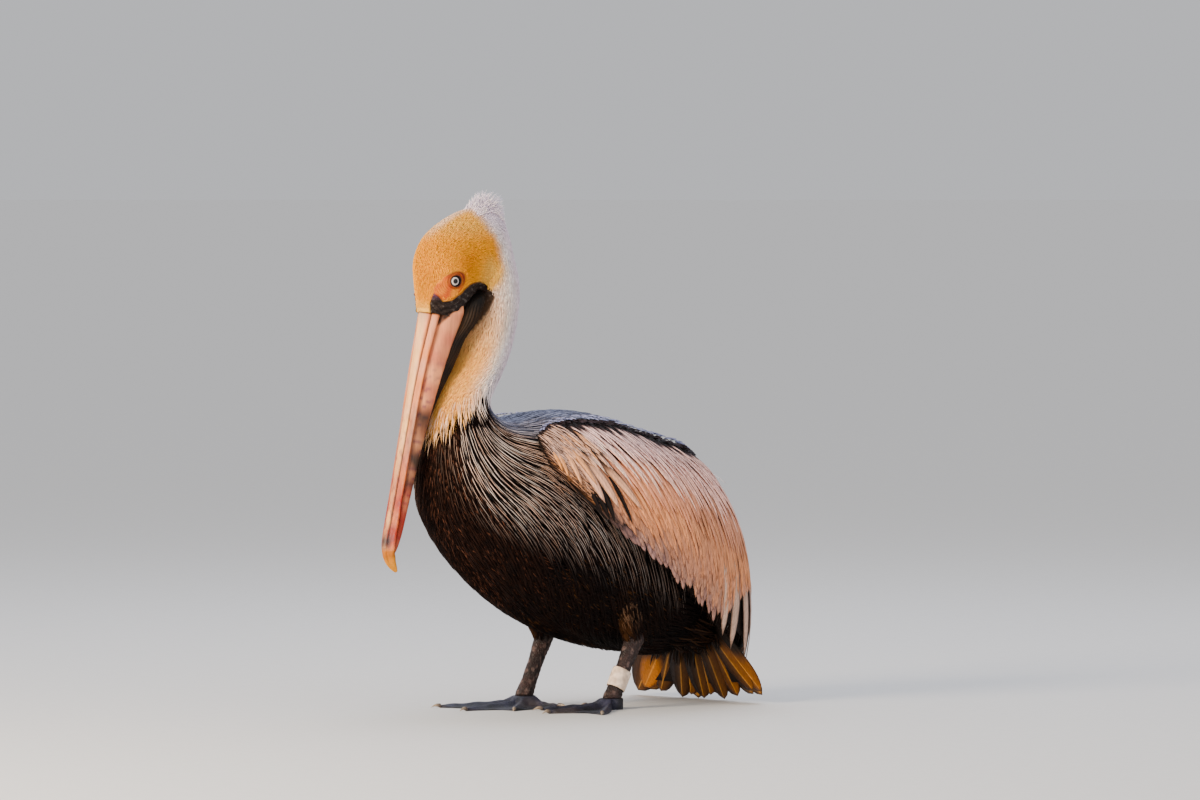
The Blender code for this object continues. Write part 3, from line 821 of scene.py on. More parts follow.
@dataclass(frozen=True)
class Markings:
    """The bird's colours as functions of the place on the body.

    Each pair of rows is a line in the median plane: the bare face's upper edge as z
    over f, its rear edge as f over z, the gold hood's rear edge as f over z, and
    the neck's lower edge as the rib over the share towards the back.
    """

    bare_f: Floats = (112, 120, 126, 135, 146, 160, 169, 178, 189, 198, 203, 207, 212)
    bare_z: Floats = (447, 456, 462, 468, 470.5, 469, 465, 458, 451, 450, 456, 459, 432)
    rear_z: Floats = (380, 386, 398, 420, 436, 453, 460, 468)
    rear_f: Floats = (400, 186, 169, 148, 137, 129, 130, 137)
    gold_z: Floats = (436, 456, 484, 515, 543)
    gold_f: Floats = (117, 113, 118, 132, 153)
    hem_back: Floats = (0.0, 0.3, 0.7, 1.0)
    hem_rib: Floats = (15.6, 14.8, 13.9, 13.6)

    def bare(self, x: Array, f: Array, z: Array) -> Array:
        """How bare and black the face is: from the bill to the jaw's angle and throat.

        Args:
            x: millimetres to the left.
            f: millimetres forward.
            z: millimetres up.

        Returns:
            Array: 0 where feathered to 1 where bare.
        """
        under = ease(-1.0, 1.0, np.interp(f, self.bare_f, self.bare_z) - z)
        before = ease(-1.5, 1.5, f - np.interp(z, self.rear_z, self.rear_f))
        crown = ease(190, 200, f) * ease(13.5, 11.0, np.abs(x))
        return under * before * (1 - crown)

    def patch(self, f: Array, z: Array) -> Array:
        """The bare orange patch round the eye: an oval that leans towards the bill."""
        df, dz = f - EYE[1] - 4.0, z - EYE[2] + 5.0
        return ease(1.08, 0.94, np.hypot((df + 0.45 * dz) / 16.5, dz / 15.5))

    def hem(self, phi: Array) -> Array:
        """The neck's lower edge, as a rib, at an angle round from the back."""
        return np.interp((1 + np.cos(phi)) / 2, self.hem_back, self.hem_rib)

    def plumage(self, t: Array, phi: Array) -> Array:
        """The coat's and the skin's colour at a place on the body.

        Args:
            t: rib parameters.
            phi: angles round from the back.

        Returns:
            Array: linear colours.
        """
        x, f, z, _ = BODY.own(t, phi)
        here = BODY.flat(t, phi)
        blotch = mottle(here, 0.02, 1)
        fleck = mottle(here, 0.008, 2)
        back = (1 + np.cos(phi)) / 2
        # painted shade: a soft dark line where the cheek creases behind and above the eye
        crease = np.exp(-(((f - np.interp(z, (470, 492, 515), (174, 166, 158))) / 7.0) ** 2))
        face = layered(
            mix(GOLD, DEEP_GOLD, ease(0.1, 0.9, blotch) * 0.5),
            (FRONT_GOLD, ease(186, 204, f)),
            (PALE_GOLD, ease(508, 532, z) * 0.8),
            (PALE_GOLD, ease(158, 138, f) * ease(506, 486, z)),
            (PALE_GOLD, ease(452, 438, z) * ease(205, 212, f) * 0.8),
            (CREAM, ease(12, 2, np.abs(x)) * ease(508, 538, z) * 0.8),
            # painted shade laid along the cheek's crease, as a darker deep gold
            (DEEP_GOLD * 0.8, crease * ease(466, 478, z) * ease(510, 492, z) * 0.5),
        )
        hood = layered(
            # painted sky-lit shade: the back of the neck turns lavender
            mix(WHITE, SKYLIT_LAVENDER, ease(0.55, 0.95, back) * 0.75),
            (CREAM, ease(0.7, 0.25, back) * 0.85),
            (PEACH, ease(0.7, 0.15, back) * ease(9.5, 13.0, t) * 0.9),
        )
        gold = ease(-13, 9, f - np.interp(z, self.gold_z, self.gold_f) + 1.2 * fleck)
        upper = mix(hood, face, gold * ease(9.4, 8.2, t))
        lower = layered(
            mix(BLACK, DARK, 0.3 + 0.3 * blotch),
            (mix(BLACK, DARK, 0.7 + 0.3 * fleck), ease(0.35, 0.1, back) * ease(22, 19, t)),
            (BLACK, ease(23.5, 25, t) * 0.8),
            (mix(SLATE, MAUVE, 0.35 + 0.15 * blotch), ease(0.74, 0.88, back)),
        )
        return mix(upper, lower, ease(-0.12, 0.12, t - self.hem(phi) + 0.12 * fleck))


MARKS = Markings()


# --- The skin ----------------------------------------------------------------------------------


@dataclass
class Skin:
    """One closed skin for head, neck, trunk and folded wings, under the coat.

    The head's part of the grid is fine enough for lids and folds.
    """

    around: int = 256
    head_rings: int = 200
    neck_rings: int = 50
    trunk_rings: int = 60
    lid_radius: float = 6.1
    lid_width: float = 1.5
    lid_height: float = 1.5
    socket_depth: float = 4.6

    def rings(self) -> Array:
        """Rib parameters of the grid's rings: close on the head, wider behind."""
        return np.concatenate(
            [
                np.linspace(0, 7.6, self.head_rings, endpoint=False),
                np.linspace(7.6, 15.5, self.neck_rings, endpoint=False),
                np.linspace(15.5, 27, self.trunk_rings),
            ]
        )

    def relief(self, x: Array, f: Array, z: Array, points: Array) -> Array:
        """Heights of lids, wrinkles and folds, in millimetres, to add along the normal.

        The socket is a pit behind the ball; the lids are a ring of raised skin round
        it; the wrinkles are bent ripples that follow the rim of the bare face.

        Args:
            x: millimetres to the left.
            f: millimetres forward.
            z: millimetres up.
            points: the same places in metres.

        Returns:
            Array: one height for each place.
        """
        reach = np.hypot(f - EYE[1], (z - EYE[2]) * 1.08)
        side = ease(8, 12, np.abs(x)) * ease(125, 140, f)
        pit = -self.socket_depth * ease(self.lid_radius, self.lid_radius - 1.4, reach)
        lid = self.lid_height * np.exp(-(((reach - self.lid_radius - 0.5) / self.lid_width) ** 2))
        outer = 0.5 * np.exp(-(((reach - 10.5) / 1.3) ** 2)) * ease(-0.6, 0.8, (z - EYE[2]) / 12)
        angle = np.arctan2(z - EYE[2], f - EYE[1])
        crease = 0.3 * np.sin(reach * 2.6 + 1.5 * np.sin(angle * 3)) * ease(7, 9, reach)
        patch = MARKS.patch(f, z)
        bare = MARKS.bare(x, f, z)
        edge = np.interp(f, MARKS.bare_f, MARKS.bare_z)
        folds = 0.75 * np.sin((edge - z) * 1.15 + 2.2 * mottle(points, 0.018, 5))
        knobs = 0.6 * mottle(points, 0.0035, 6)
        brow = 0.9 * np.exp(-(((reach - 13.5) / 3.5) ** 2)) * ease(-0.2, 1.0, (z - EYE[2]) / 14)
        return side * (pit + lid + outer + brow + crease * patch) + bare * (folds + knobs + 0.5)

    def colours(self, t: Array, phi: Array, points: Array) -> Array:
        """The plumage's markings with the bare face, patch and lids laid over them.

        Args:
            t: rib parameters.
            phi: angles round from the back.
            points: the same places in metres.

        Returns:
            Array: linear colours.
        """
        x, f, z, _ = BODY.own(t, phi)
        df, dz = f - EYE[1], z - EYE[2]
        reach = np.hypot(df, dz * 1.08)
        lid = self.lid_radius
        above = (dz - 0.5 * df) / 12
        rim = ease(9.0, 12.0, reach) * ease(-0.4, 0.6, above)
        patch = layered(
            mix(BARE_ORANGE, DEEP_GOLD, 0.5 + 0.5 * mottle(points, 0.006, 7)),
            (BARE_RED, rim * (0.7 + 0.3 * np.sin(reach * 4.2))),
            (BARE_RED, np.exp(-(((reach - 11.0) / 1.0) ** 2)) * ease(-0.3, 0.4, above)),
            ("A83414", ease(0.0, 1.0, df / 14) * ease(2, -8, dz) * 0.4),
            (BARE_RED, ease(2.2, 0.6, np.abs(reach - lid - 2.2)) * 0.7),
            ("180908", ease(lid + 1.5, lid + 0.6, reach)),
        )
        behind = ease(14.0, 2.0, f - np.interp(z, MARKS.rear_z, MARKS.rear_f)) * ease(462, 448, z)
        black = layered(
            BARE_BLACK,
            # painted highlights: pale grey speckles that stand for glints on the beaded bare skin
            ("7A706A", ease(0.5, 1.0, mottle(points, 0.003, 8)) * 0.4),
            ("6A3A5A", ease(198, 206, f) * ease(450, 456, z) * 0.5),
            ("4A3018", behind * 0.8),
        )
        return layered(
            MARKS.plumage(t, phi) * 0.92,
            (patch, MARKS.patch(f, z) * ease(8, 12, np.abs(x)) * ease(9, 8, t)),
            (black, MARKS.bare(x, f, z)),
        )

    def wing_bed(self, side: Side, rows: int = 40, columns: int = 70) -> tuple[Array, list[Array]]:
        """A wing's flesh and quill bed: a shell just under its outer face.

        Args:
            side: which wing.
            rows: how many points down a rib.
            columns: how many ribs.

        Returns:
            tuple: the points and the blocks of faces.
        """
        form = WINGS[side]
        a, b = np.meshgrid(np.linspace(0.0, 0.97, rows), np.linspace(0.05, 7.9, columns), indexing="ij")
        point, along, across = form.local(a, b)
        normal = form.normal(along, across)
        thick = (3.6 + (9.0 - 8.4 * a)[..., None]) * MM
        return shell_arrays(point - normal * 3.2 * MM, point - normal * thick)

    def build(self) -> bpy.types.Object:
        """Builds the skin: the body's grid set in by the coat's depth, its ends fanned
        shut, and the beds of both wings.

        Returns:
            bpy.types.Object: the skin.
        """
        tt, pp = np.meshgrid(self.rings(), circle(self.around), indexing="ij")
        point, along, across = BODY.local(tt, pp)
        x, f, z, _ = BODY.own(tt, pp)
        head = ease(12.5, 11.5, tt)
        height = self.relief(x, f, z, point) * head - BODY.depth(tt)
        height += MARKS.bare(x, f, z) * head * BODY.depth(tt) * 0.5
        height += MARKS.patch(f, z) * ease(9.0, 8.0, tt) * 0.9 * ease(8, 12, np.abs(x))
        rings = point + BODY.normal(along, across) * height[..., None] * MM
        body, faces = tube_arrays(rings)
        blocks = [block[:, ::-1] for block in faces]
        points = [body]
        shades = [self.colours(tt, pp, point).reshape(-1, 3), np.tile(BARE_BLACK, (2, 1))]
        total = len(body)
        for side in Side:
            bed, faces = self.wing_bed(side)
            if side is Side.RIGHT:
                faces = [block[:, ::-1] for block in faces]
            points.append(bed)
            shades.append(np.tile(mix(BLACK, DARK, np.array(0.5)), (len(bed), 1)))
            blocks += [block + total for block in faces]
            total += len(bed)
        made = make_mesh("skin", np.concatenate(points), blocks, np.concatenate(shades))
        return finish_piece(
            made, BARE, "body_plumage", "head", "neck", "trunk", "wing_left", "wing_right"
        )


# --- The coat ------------------------------------------------------------------------------------

BAKE_MARGIN = 0.002
BAKE_PATCH = 0.003
BARB_UNIT = 100.0


class Section(Enum):
    """A blade's cross-section: places across and heights, as shares of its sizes."""

    TUFT = ((-1.0, 0.0), (0.0, 1.0), (1.0, 0.0))
    RIBBON = ((-1.0, 0.0), (-0.4, 0.7), (0.0, 1.0), (0.4, 0.7), (1.0, 0.0))
    VANE = (
        (-1, -0.5), (-0.52, 0.15), (-0.09, 0.45), (0, 1.0), (0.09, 0.45), (0.52, 0.15), (1, -0.5), (0, -0.7),
    )


def scatter(
    form: Form, count: int, a: Span, b: Span, weight: Callable[[Array, Array], Array] | None, seed: int
) -> tuple[Array, Array]:
    """Evenly strewn places on a form, as dense as its area times a weight.

    A plastic-number sequence of pairs goes through the area's running sums: the
    first value picks the row, the second the place within it.

    Args:
        form: the form.
        count: how many places.
        a: the parameters' range along the lie.
        b: the parameters' range across.
        weight: a function of both parameters that gives a density, or None.
        seed: where in the sequence it starts.

    Returns:
        tuple: both parameters of every place.
    """
    rows, columns = 220, 300
    edge_a, edge_b = np.linspace(*a, rows + 1), np.linspace(*b, columns + 1)
    middles = ((edge[1:] + edge[:-1]) / 2 for edge in (edge_a, edge_b))
    mid_a, mid_b = np.meshgrid(*middles, indexing="ij")
    _, along, across = form.local(mid_a, mid_b)
    area = np.linalg.norm(np.cross(along, across), axis=-1)
    if weight is not None:
        area = area * np.clip(weight(mid_a, mid_b), 0, None)
    area += 1e-15
    sums = np.concatenate([[0], np.cumsum(area.sum(axis=1))])
    i = np.arange(count) + seed * 977
    pick = (PLASTIC_STEPS[0] * i + 0.13) % 1.0
    slide = (PLASTIC_STEPS[1] * i + 0.37) % 1.0
    place_a = np.interp(pick, sums / sums[-1], edge_a)
    row = np.clip(np.searchsorted(edge_a, place_a) - 1, 0, rows - 1)
    inner = np.cumsum(area, axis=1)
    inner = np.hstack([np.zeros((rows, 1)), inner]) / inner[:, -1:]
    flat = (inner + np.arange(rows)[:, None] * 2).ravel()
    spot = np.clip(np.searchsorted(flat, row * 2 + slide, side="right") - 1, 0, flat.size - 2)
    column = np.clip(spot - row * (columns + 1), 0, columns - 1)
    low, high = inner[row, column], inner[row, column + 1]
    share = (slide - low) / np.maximum(high - low, 1e-12)
    place_b = edge_b[column] + (edge_b[column + 1] - edge_b[column]) * np.clip(share, 0, 1)
    return place_a, place_b


@dataclass
class Blades:
    """Solid tapered blades with their roots on one form.

    Each starts at its root and marches over the form, `bearing` radians from the lie,
    turning by `curl` on the way. Its height over the outline goes from `lift[0]` at
    the root through `lift[1]` half way to `lift[2]` at the tip. `half` and `thick`
    are its half width and height, all in millimetres. `roll` turns its face round its
    own length.
    """

    form: Form
    a: Array
    b: Array
    length: Array
    half: Array
    thick: float
    lift: tuple[Array | float, Array | float, Array | float]
    bearing: Array
    curl: Array | float = 0.0
    roll: Array | float = 0.0
    stations: int = 4
    section: Section = Section.TUFT
    blunt: float = 1.6
    base_width: float = 0.55

    def shape(self, s: Array) -> Array:
        """The width's profile: a quick rise from the root and a taper to the tip."""
        rise = self.base_width + (1 - self.base_width) * ease(0, 0.3, s)
        return rise * (1 - s**self.blunt) ** 0.72

    def spines(self) -> tuple[Array, Array]:
        """The blades' middle lines, with the form's normal at each of their points.

        A step of the march is the way split along both tangents, by their dot products.

        Returns:
            tuple: two arrays, station by blade by 3.
        """
        a, b = self.a, self.b
        step = self.length * MM / self.stations
        low, mid, high = self.lift
        points, normals = [], []
        for i in range(self.stations + 1):
            s = i / self.stations
            point, along, across = self.form.local(a, b)
            normal = self.form.normal(along, across)
            ahead = unit(along)
            aside = np.cross(normal, ahead) * self.form.facing
            turn = (self.bearing + np.asarray(self.curl) * s)[:, None]
            way = np.cos(turn) * ahead + np.sin(turn) * aside
            height = low * (1 - s) * (1 - 2 * s) + mid * 4 * s * (1 - s) + high * s * (2 * s - 1)
            points.append(point + normal * np.broadcast_to(height, a.shape)[:, None] * MM)
            normals.append(normal)
            aa, bb, ab = dots(along, along), dots(across, across), dots(along, across)
            wa, wb = dots(way, along), dots(way, across)
            room = np.maximum(aa * bb - ab * ab, 1e-16)
            a = a + (bb * wa - ab * wb) / room * step
            b = b + (aa * wb - ab * wa) / room * step
        return np.array(points), np.array(normals)

    def build(self, name: str, colour: Callable[[Array, Array], Array]) -> bpy.types.Object:
        """Builds the blades as one mesh with colours and the baking map.

        Args:
            name: the piece's name.
            colour: a function of the share along (station, 1, 1) and the place across
                (1, 1, section) that gives station by blade by section colours.

        Returns:
            bpy.types.Object: the piece.
        """
        spine, normal = self.spines()
        way = unit(np.gradient(spine, axis=0))
        side = unit(np.cross(way, normal))
        up = np.cross(side, way)
        roll = np.broadcast_to(np.asarray(self.roll, float), self.a.shape)[None, :, None]
        side, up = side * np.cos(roll) + up * np.sin(roll), up * np.cos(roll) - side * np.sin(roll)
        section = np.array(self.section.value, float)
        rings, blades, sides = self.stations, len(self.a), len(section)
        s = np.linspace(0, 1, rings + 1)
        width = (self.shape(s)[:rings, None] * self.half)[..., None, None] * MM
        height = (self.shape(s)[:rings, None] ** 0.5 * self.thick)[..., None, None] * MM
        ring = (
            spine[:rings, :, None]
            + side[:rings, :, None] * width * section[:, 0:1]
            + up[:rings, :, None] * height * section[:, 1:2]
        )
        body = ring.transpose(1, 0, 2, 3).reshape(blades, rings * sides, 3)
        points = np.concatenate([body, spine[-1][:, None]], axis=1)
        each = rings * sides + 1
        m = np.arange(sides)
        n = (m + 1) % sides
        r = np.arange(rings - 1)[:, None] * sides
        quads = np.stack([r + m, r + n, r + sides + n, r + sides + m], axis=-1).reshape(-1, 4)
        last = (rings - 1) * sides
        tips = np.stack([last + m, last + n, np.full(sides, each - 1)], axis=1)
        cap = m[::-1][None]
        start = (np.arange(blades) * each)[:, None, None]
        blocks = [(start + part).reshape(-1, part.shape[1]) for part in (quads, tips, cap)]
        shades = colour(s[:, None, None], section[None, None, :, 0])
        shades = np.broadcast_to(shades, (rings + 1, blades, sides, 3))
        own = shades[:rings].transpose(1, 0, 2, 3).reshape(blades, rings * sides, 3)
        tip = shades[-1].mean(axis=1)[:, None]
        made = make_mesh(name, points, blocks, np.concatenate([own, tip], axis=1))
        self.unwrap(made, section[:, 0])
        return made

    def unwrap(self, made: bpy.types.Object, places: Array) -> None:
        """Gives the piece its baking map and its map of barbs.

        OFBake puts each blade on a small patch at its root's place on the form's own
        unwrap. Barbs holds the place across and the length along.

        Args:
            made: the piece.
            places: the section's places across.
        """
        rings = self.stations
        chart = self.form.chart(self.a, self.b)
        chart = (chart - chart.min(axis=0)) / np.maximum(np.ptp(chart, axis=0), 1e-9)
        across = np.concatenate([np.tile(places, rings), [0.0]])
        along = np.concatenate([np.repeat(np.arange(rings) / rings, len(places)), [1.0]])
        patch = np.stack([across * BAKE_PATCH / 2, (along - 0.5) * BAKE_PATCH], axis=1)
        where = BAKE_MARGIN + (1 - 2 * BAKE_MARGIN) * chart[:, None] + patch[None]
        wide = np.broadcast_to(across, (len(self.a), len(across)))
        barbs = np.stack([wide, along[None] * self.length[:, None] / BARB_UNIT], axis=-1)
        mesh = made.data
        corners = np.empty(len(mesh.loops), np.int32)
        mesh.loops.foreach_get("vertex_index", corners)
        for label, values in (("OFBake", where), ("Barbs", barbs)):
            layer = mesh.uv_layers.new(name=label)
            layer.data.foreach_set("uv", values.reshape(-1, 2)[corners].astype(np.float32).ravel())
        mesh.uv_layers["OFBake"].active = True
        mesh.uv_layers["OFBake"].active_render = True


@dataclass(frozen=True)
class Patch:
    """A stretch of the body's coat: where it grows, how thick, how long, how it lies.

    `a` and `b` are ranges of ribs and angles; `mid` and `tip` are heights over the
    outline; `wander` spreads the lie, in radians; `root_dark` and `tip_light` are the
    brightness of roots and tips; `streak` is the share of feathers with a pale ridge,
    from `pale[0]` to `pale[1]`.
    """

    name: str
    slot: str
    count: int
    a: Span
    b: Span
    length: Span
    half: float
    thick: float
    seed: int
    tip: Span = (-0.2, 0.8)
    mid: float = 0.0
    wander: float = 0.12
    stations: int = 3
    root_dark: float = 0.7
    tip_light: float = 1.06
    finish: Finish = FEATHER
    streak: float = 0.0
    pale: tuple[str, str] = ("46261A", "6E4430")


@dataclass(frozen=True)
class Lanes:
    """A stretch of long narrow feathers in regular rows, each dark with a pale ridge.

    They grow between the angles `phi`, `spacing` millimetres from each other, in rows
    `step` millimetres apart. `ridge` is the ridge's half width as a share of the
    feather's own, and `pale` holds its colours.
    """

    name: str
    phi: Span
    seed: int
    spacing: float = 3.3
    step: float = 15.0
    length: Span = (42.0, 58.0)
    half: float = 1.9
    ridge: float = 0.28
    pale: tuple[str, str] = ("F4C6AC", "FFEEE2")


def ridged(
    base: Array, pale: Array | str, share: Array, width: Array | float, level: Span = (0.7, 1.06)
) -> Callable[[Array, Array], Array]:
    """A colouring of blades: darker roots, their own colour, and a pale ridge.

    Args:
        base: each blade's own colour.
        pale: each blade's ridge colour, or one for all as digits.
        share: how strongly each ridge shows.
        width: the ridge's half width as a share of the blade's.
        level: how bright the root and the tip are.

    Returns:
        Callable: the colouring that Blades.build takes.
    """
    crown = np.broadcast_to(linear(pale) if isinstance(pale, str) else pale, base.shape)

    def colour(s: Array, across: Array) -> Array:
        """Colours whose ridge fades in from the root and stands sharp on the middle.

        Args:
            s: shares along, as (station, 1, 1).
            across: places across, as (1, 1, section).

        Returns:
            Array: station by blade by section colours.
        """
        own = base[None, :, None, :] * (level[0] + (level[1] - level[0]) * ease(0.0, 0.75, s))[..., None]
        sharp = np.clip(1.3 - np.abs(across) / np.broadcast_to(width, share.shape)[None, :, None], 0, 1)
        ridge = share[None, :, None] * sharp * ease(0.02, 0.3, s)
        return own + (crown[None, :, None, :] - own) * ridge[..., None]

    return colour


@dataclass(frozen=True)
class BodyCoat:
    """The coat of head, neck and trunk, patch by patch.

    A folded wing hides what lies between the lines `under` and `top`, as z over f.
    """

    under_f: Floats = (-190, -155, -110, -62, -8, 56, 107)
    under_z: Floats = (82, 106, 136, 165, 198, 239, 289)
    top_f: Floats = (-141, -122, -88, -45, 0, 45, 88, 108)
    top_z: Floats = (262, 276, 286, 297, 308, 311, 306, 294)
    first_rib: float = 14.0
    last_rib: float = 26.9
    turn: float = math.pi
    patches: tuple[Patch, ...] = (
        Patch("coat_face", "head_plumage", 12300, (0.25, 8.3), (0.0, 2 * turn), (5.0, 8.5), 0.55, 0.3, 1,
              tip=(-0.2, 0.45), finish=DOWN, root_dark=0.9, tip_light=1.04),
        Patch("coat_nape", "neck_plumage", 12300, (7.8, 15.6), (0.0, 2 * turn), (10.0, 16.0), 0.75, 0.32, 2,
              tip=(-0.3, 0.6), wander=0.1, finish=DOWN, root_dark=0.88, tip_light=1.04),
        Patch("coat_breast", "body_plumage", 8000, (14.6, 21.0), (turn * 0.70, turn * 1.30), (15.0, 25.0),
              1.1, 0.6, 3, tip=(-1.8, 0.0), mid=-1.1, streak=0.22),
        Patch("coat_belly", "body_plumage", 7000, (20.6, 26.9), (turn * 0.60, turn * 1.40), (17.0, 28.0),
              1.4, 0.8, 6, tip=(-1.8, 0.4), mid=-1.2, streak=0.15, pale=("3A2414", "64401F")),
        Patch("coat_rump", "body_plumage", 1700, (23.8, 26.95), (0.12 * turn, 1.88 * turn), (34.0, 58.0),
              2.4, 0.9, 8, tip=(0.5, 3.5), mid=0.2, stations=4, wander=0.14),
    )
    lanes: tuple[Lanes, ...] = (
        Lanes("coat_flank_left", (0.13 * turn, 0.93 * turn), 4),
        Lanes("coat_flank_right", (2 * turn - 0.93 * turn, 2 * turn - 0.13 * turn), 5),
        Lanes("coat_mantle", (-0.16 * turn, 0.16 * turn), 7, spacing=3.2, step=10.0, length=(28.0, 42.0),
              half=2.1, ridge=0.44, pale=("868CB8", "C2C8EA")),
    )

    def hidden(self, t: Array, phi: Array) -> Array:
        """How far a place lies under a folded wing.

        Args:
            t: rib parameters.
            phi: angles round from the back.

        Returns:
            Array: 0 in the open to 1 under the wing.
        """
        x, f, z, _ = BODY.own(t, phi)
        above = ease(0, 6, z - np.interp(f, self.under_f, self.under_z))
        below = ease(0, 6, np.interp(f, self.top_f, self.top_z) - z)
        return above * below * ease(25, 35, np.abs(x)) * ease(96, 86, f)

    def density(self, t: Array, phi: Array) -> Array:
        """How dense the coat is: none on bare skin, and thin where a wing covers it.

        Args:
            t: rib parameters.
            phi: angles round from the back.

        Returns:
            Array: shares from 0 to 1.
        """
        x, f, z, _ = BODY.own(t, phi)
        eye = MARKS.patch(f, z) * ease(8, 12, np.abs(x)) * ease(9, 8, t)
        bare = np.maximum(MARKS.bare(x, f, z), eye)
        return ease(0.6, 0.3, bare) * (1 - 0.96 * self.hidden(t, phi))

    def grow(self, patch: Patch) -> bpy.types.Object:
        """Grows one patch.

        Args:
            patch: its sizes.

        Returns:
            bpy.types.Object: the piece.
        """
        rng = np.random.default_rng(patch.seed)
        count = patch.count
        t, phi = scatter(BODY, count, patch.a, patch.b, self.density, patch.seed)
        size = rng.uniform(*patch.length, count)
        _, f, z, _ = BODY.own(t, phi)
        if patch.name == "coat_face":
            size *= 0.6 + 0.4 * ease(16, 42, np.hypot(f - EYE[1], z - EYE[2]))
            size *= 0.65 + 0.35 * ease(218, 196, f)
        ahead = f - np.interp(z, MARKS.rear_z, MARKS.rear_f)
        size *= 1 - 0.6 * ease(-13, -3, ahead) * ease(10, 2, ahead) * ease(376, 388, z) * ease(474, 466, z)
        depth = BODY.depth(t)
        here = BODY.flat(t, phi)
        bearing = rng.normal(0, patch.wander, count) + 0.3 * mottle(here, 0.05, patch.seed + 20)
        tip = rng.uniform(*patch.tip, count)
        low = -depth - 0.2
        blades = Blades(
            BODY, t, phi, size, patch.half * rng.uniform(0.8, 1.2, count), patch.thick,
            (low, low * 0.25 + patch.mid * 0.75 + 0.25 * tip, tip), bearing,
            curl=rng.normal(0, 0.08, count), stations=patch.stations,
        )
        base = MARKS.plumage(t, phi) * rng.uniform(0.9, 1.1, count)[:, None]
        streak = (rng.random(count) < patch.streak) * ease(-0.1, 0.5, t - MARKS.hem(phi))
        pale = mix(linear(patch.pale[0]), linear(patch.pale[1]), rng.random(count))
        colour = ridged(base, pale, streak, 0.5, (patch.root_dark, patch.tip_light))
        return finish_piece(blades.build(patch.name, colour), patch.finish, patch.slot)

    def comb(self, lanes: Lanes) -> bpy.types.Object:
        """Grows long feathers in rows.

        Each row is a ring of the body divided into equal lengths, a step of the lie on
        from the one before; all places are shaken a little.

        Args:
            lanes: their sizes.

        Returns:
            bpy.types.Object: the piece.
        """
        rng = np.random.default_rng(lanes.seed)
        phi, step = lanes.phi, lanes.step
        fine_t = np.linspace(self.first_rib, self.last_rib, 300)
        middle = np.full(len(fine_t), (phi[0] + phi[1]) / 2)
        run = np.linalg.norm(np.diff(BODY.flat(fine_t, middle), axis=0), axis=-1) / MM
        run = np.concatenate([[0], np.cumsum(run)])
        fine_phi = np.linspace(*phi, 400)
        lane = np.linspace(*phi, 40)
        all_t, all_phi = [], []
        for at in np.interp(np.arange(0, run[-1], step), run, fine_t):
            ring = BODY.flat(np.full(len(fine_phi), at), fine_phi)
            arc = np.concatenate([[0], np.cumsum(np.linalg.norm(np.diff(ring, axis=0), axis=-1) / MM)])
            place = self.respace(np.interp(lane, fine_phi, arc), arc[-1], lanes.spacing)
            lane = np.interp(place, arc, fine_phi)
            all_phi.append(
                lane + rng.normal(0, 0.05, len(lane)) * lanes.spacing * np.ptp(fine_phi) / arc[-1]
            )
            ribs = self.last_rib - self.first_rib
            all_t.append(at + rng.uniform(-0.5, 0.5, len(lane)) * step * ribs / run[-1])
            side = np.where(np.sin(lane) > 0, 1.0, -1.0)
            place = place + side * np.tan(self.steer(np.full(len(lane), at), lane)) * step
            lane = np.interp(np.sort(np.clip(place, 0, arc[-1])), arc, fine_phi)
        t, turn = np.concatenate(all_t), np.concatenate(all_phi)
        keep = (rng.random(len(t)) < self.density(t, turn)) & (t > MARKS.hem(turn) - 0.6)
        t, turn = t[keep], turn[keep]
        count = len(t)
        left = np.where(np.sin(turn) > 0, 1.0, -1.0)
        steer = self.steer(t, turn)
        later = self.steer(np.minimum(t + 2.2, self.last_rib), turn) - steer
        tip = rng.uniform(-0.6, 0.6, count)
        low = -BODY.depth(t) - 0.2
        blades = Blades(
            BODY, t, turn, rng.uniform(*lanes.length, count) * np.interp(t, (14, 16, 27), (0.55, 1, 1)),
            lanes.half * rng.uniform(0.85, 1.15, count) * np.interp(t, (14, 16.5, 27), (0.7, 1, 1)),
            0.9, (low, low * 0.2 - 0.6, tip), rng.normal(0, 0.03, count) - left * steer,
            curl=rng.normal(0, 0.03, count) - left * later, stations=5, section=Section.RIBBON,
        )
        back = (1 + np.cos(turn)) / 2
        base = MARKS.plumage(t + 0.5, turn) * rng.uniform(0.85, 1.1, count)[:, None]
        front = np.interp(t, (15.0, 17.0, 19.0, 21.0, 24.0), (0.0, 0.09, 0.25, 0.36, 0.42))
        show = ease(front - 0.08, front + 0.14, back) * (0.6 + 0.4 * ease(22.4, 20.4, t))
        show = show * rng.uniform(0.62, 1.0, count) * np.interp(t, (16, 19, 21), (1.0, 0.85, 0.75))
        tint = layered(
            mix(linear(lanes.pale[0]), linear(lanes.pale[1]), rng.random(count)),
            ("8A6248", ease(0.24, 0.06, back) * 0.8),
            ("B0B4C8", ease(0.72, 0.86, back) * 0.7),
        )
        width = lanes.ridge * np.interp(t, (15, 18, 21), (1, 0.85, 0.62))
        made = blades.build(lanes.name, ridged(base, tint, show, width))
        return finish_piece(made, FEATHER, "body_plumage")

    def steer(self, t: Array, phi: Array) -> Array:
        """How far the flank's feathers turn from the lie towards the belly, in radians."""
        return (0.75 * ease(19.0, 22.4, t) - 0.04) * ease(0.2, 0.7, np.abs(np.sin(phi)))

    def respace(self, place: Array, end: float, spacing: float) -> Array:
        """Places along a ring with crowded ones dropped and wide gaps filled.

        Args:
            place: sorted places, in millimetres.
            end: the ring's length.
            spacing: the wanted gap.

        Returns:
            Array: places whose gaps are all about the spacing.
        """
        cell = np.floor(place / (0.7 * spacing))
        place = place[np.concatenate([[True], np.diff(cell) > 0])]
        wall = np.concatenate([[-0.5 * spacing], place, [end + 0.5 * spacing]])
        gap = np.diff(wall)
        extra = [
            np.linspace(wall[i], wall[i + 1], int(round(gap[i] / spacing)) + 1)[1:-1]
            for i in np.flatnonzero(gap > 1.5 * spacing)
        ]
        return np.sort(np.concatenate([place, *extra]))

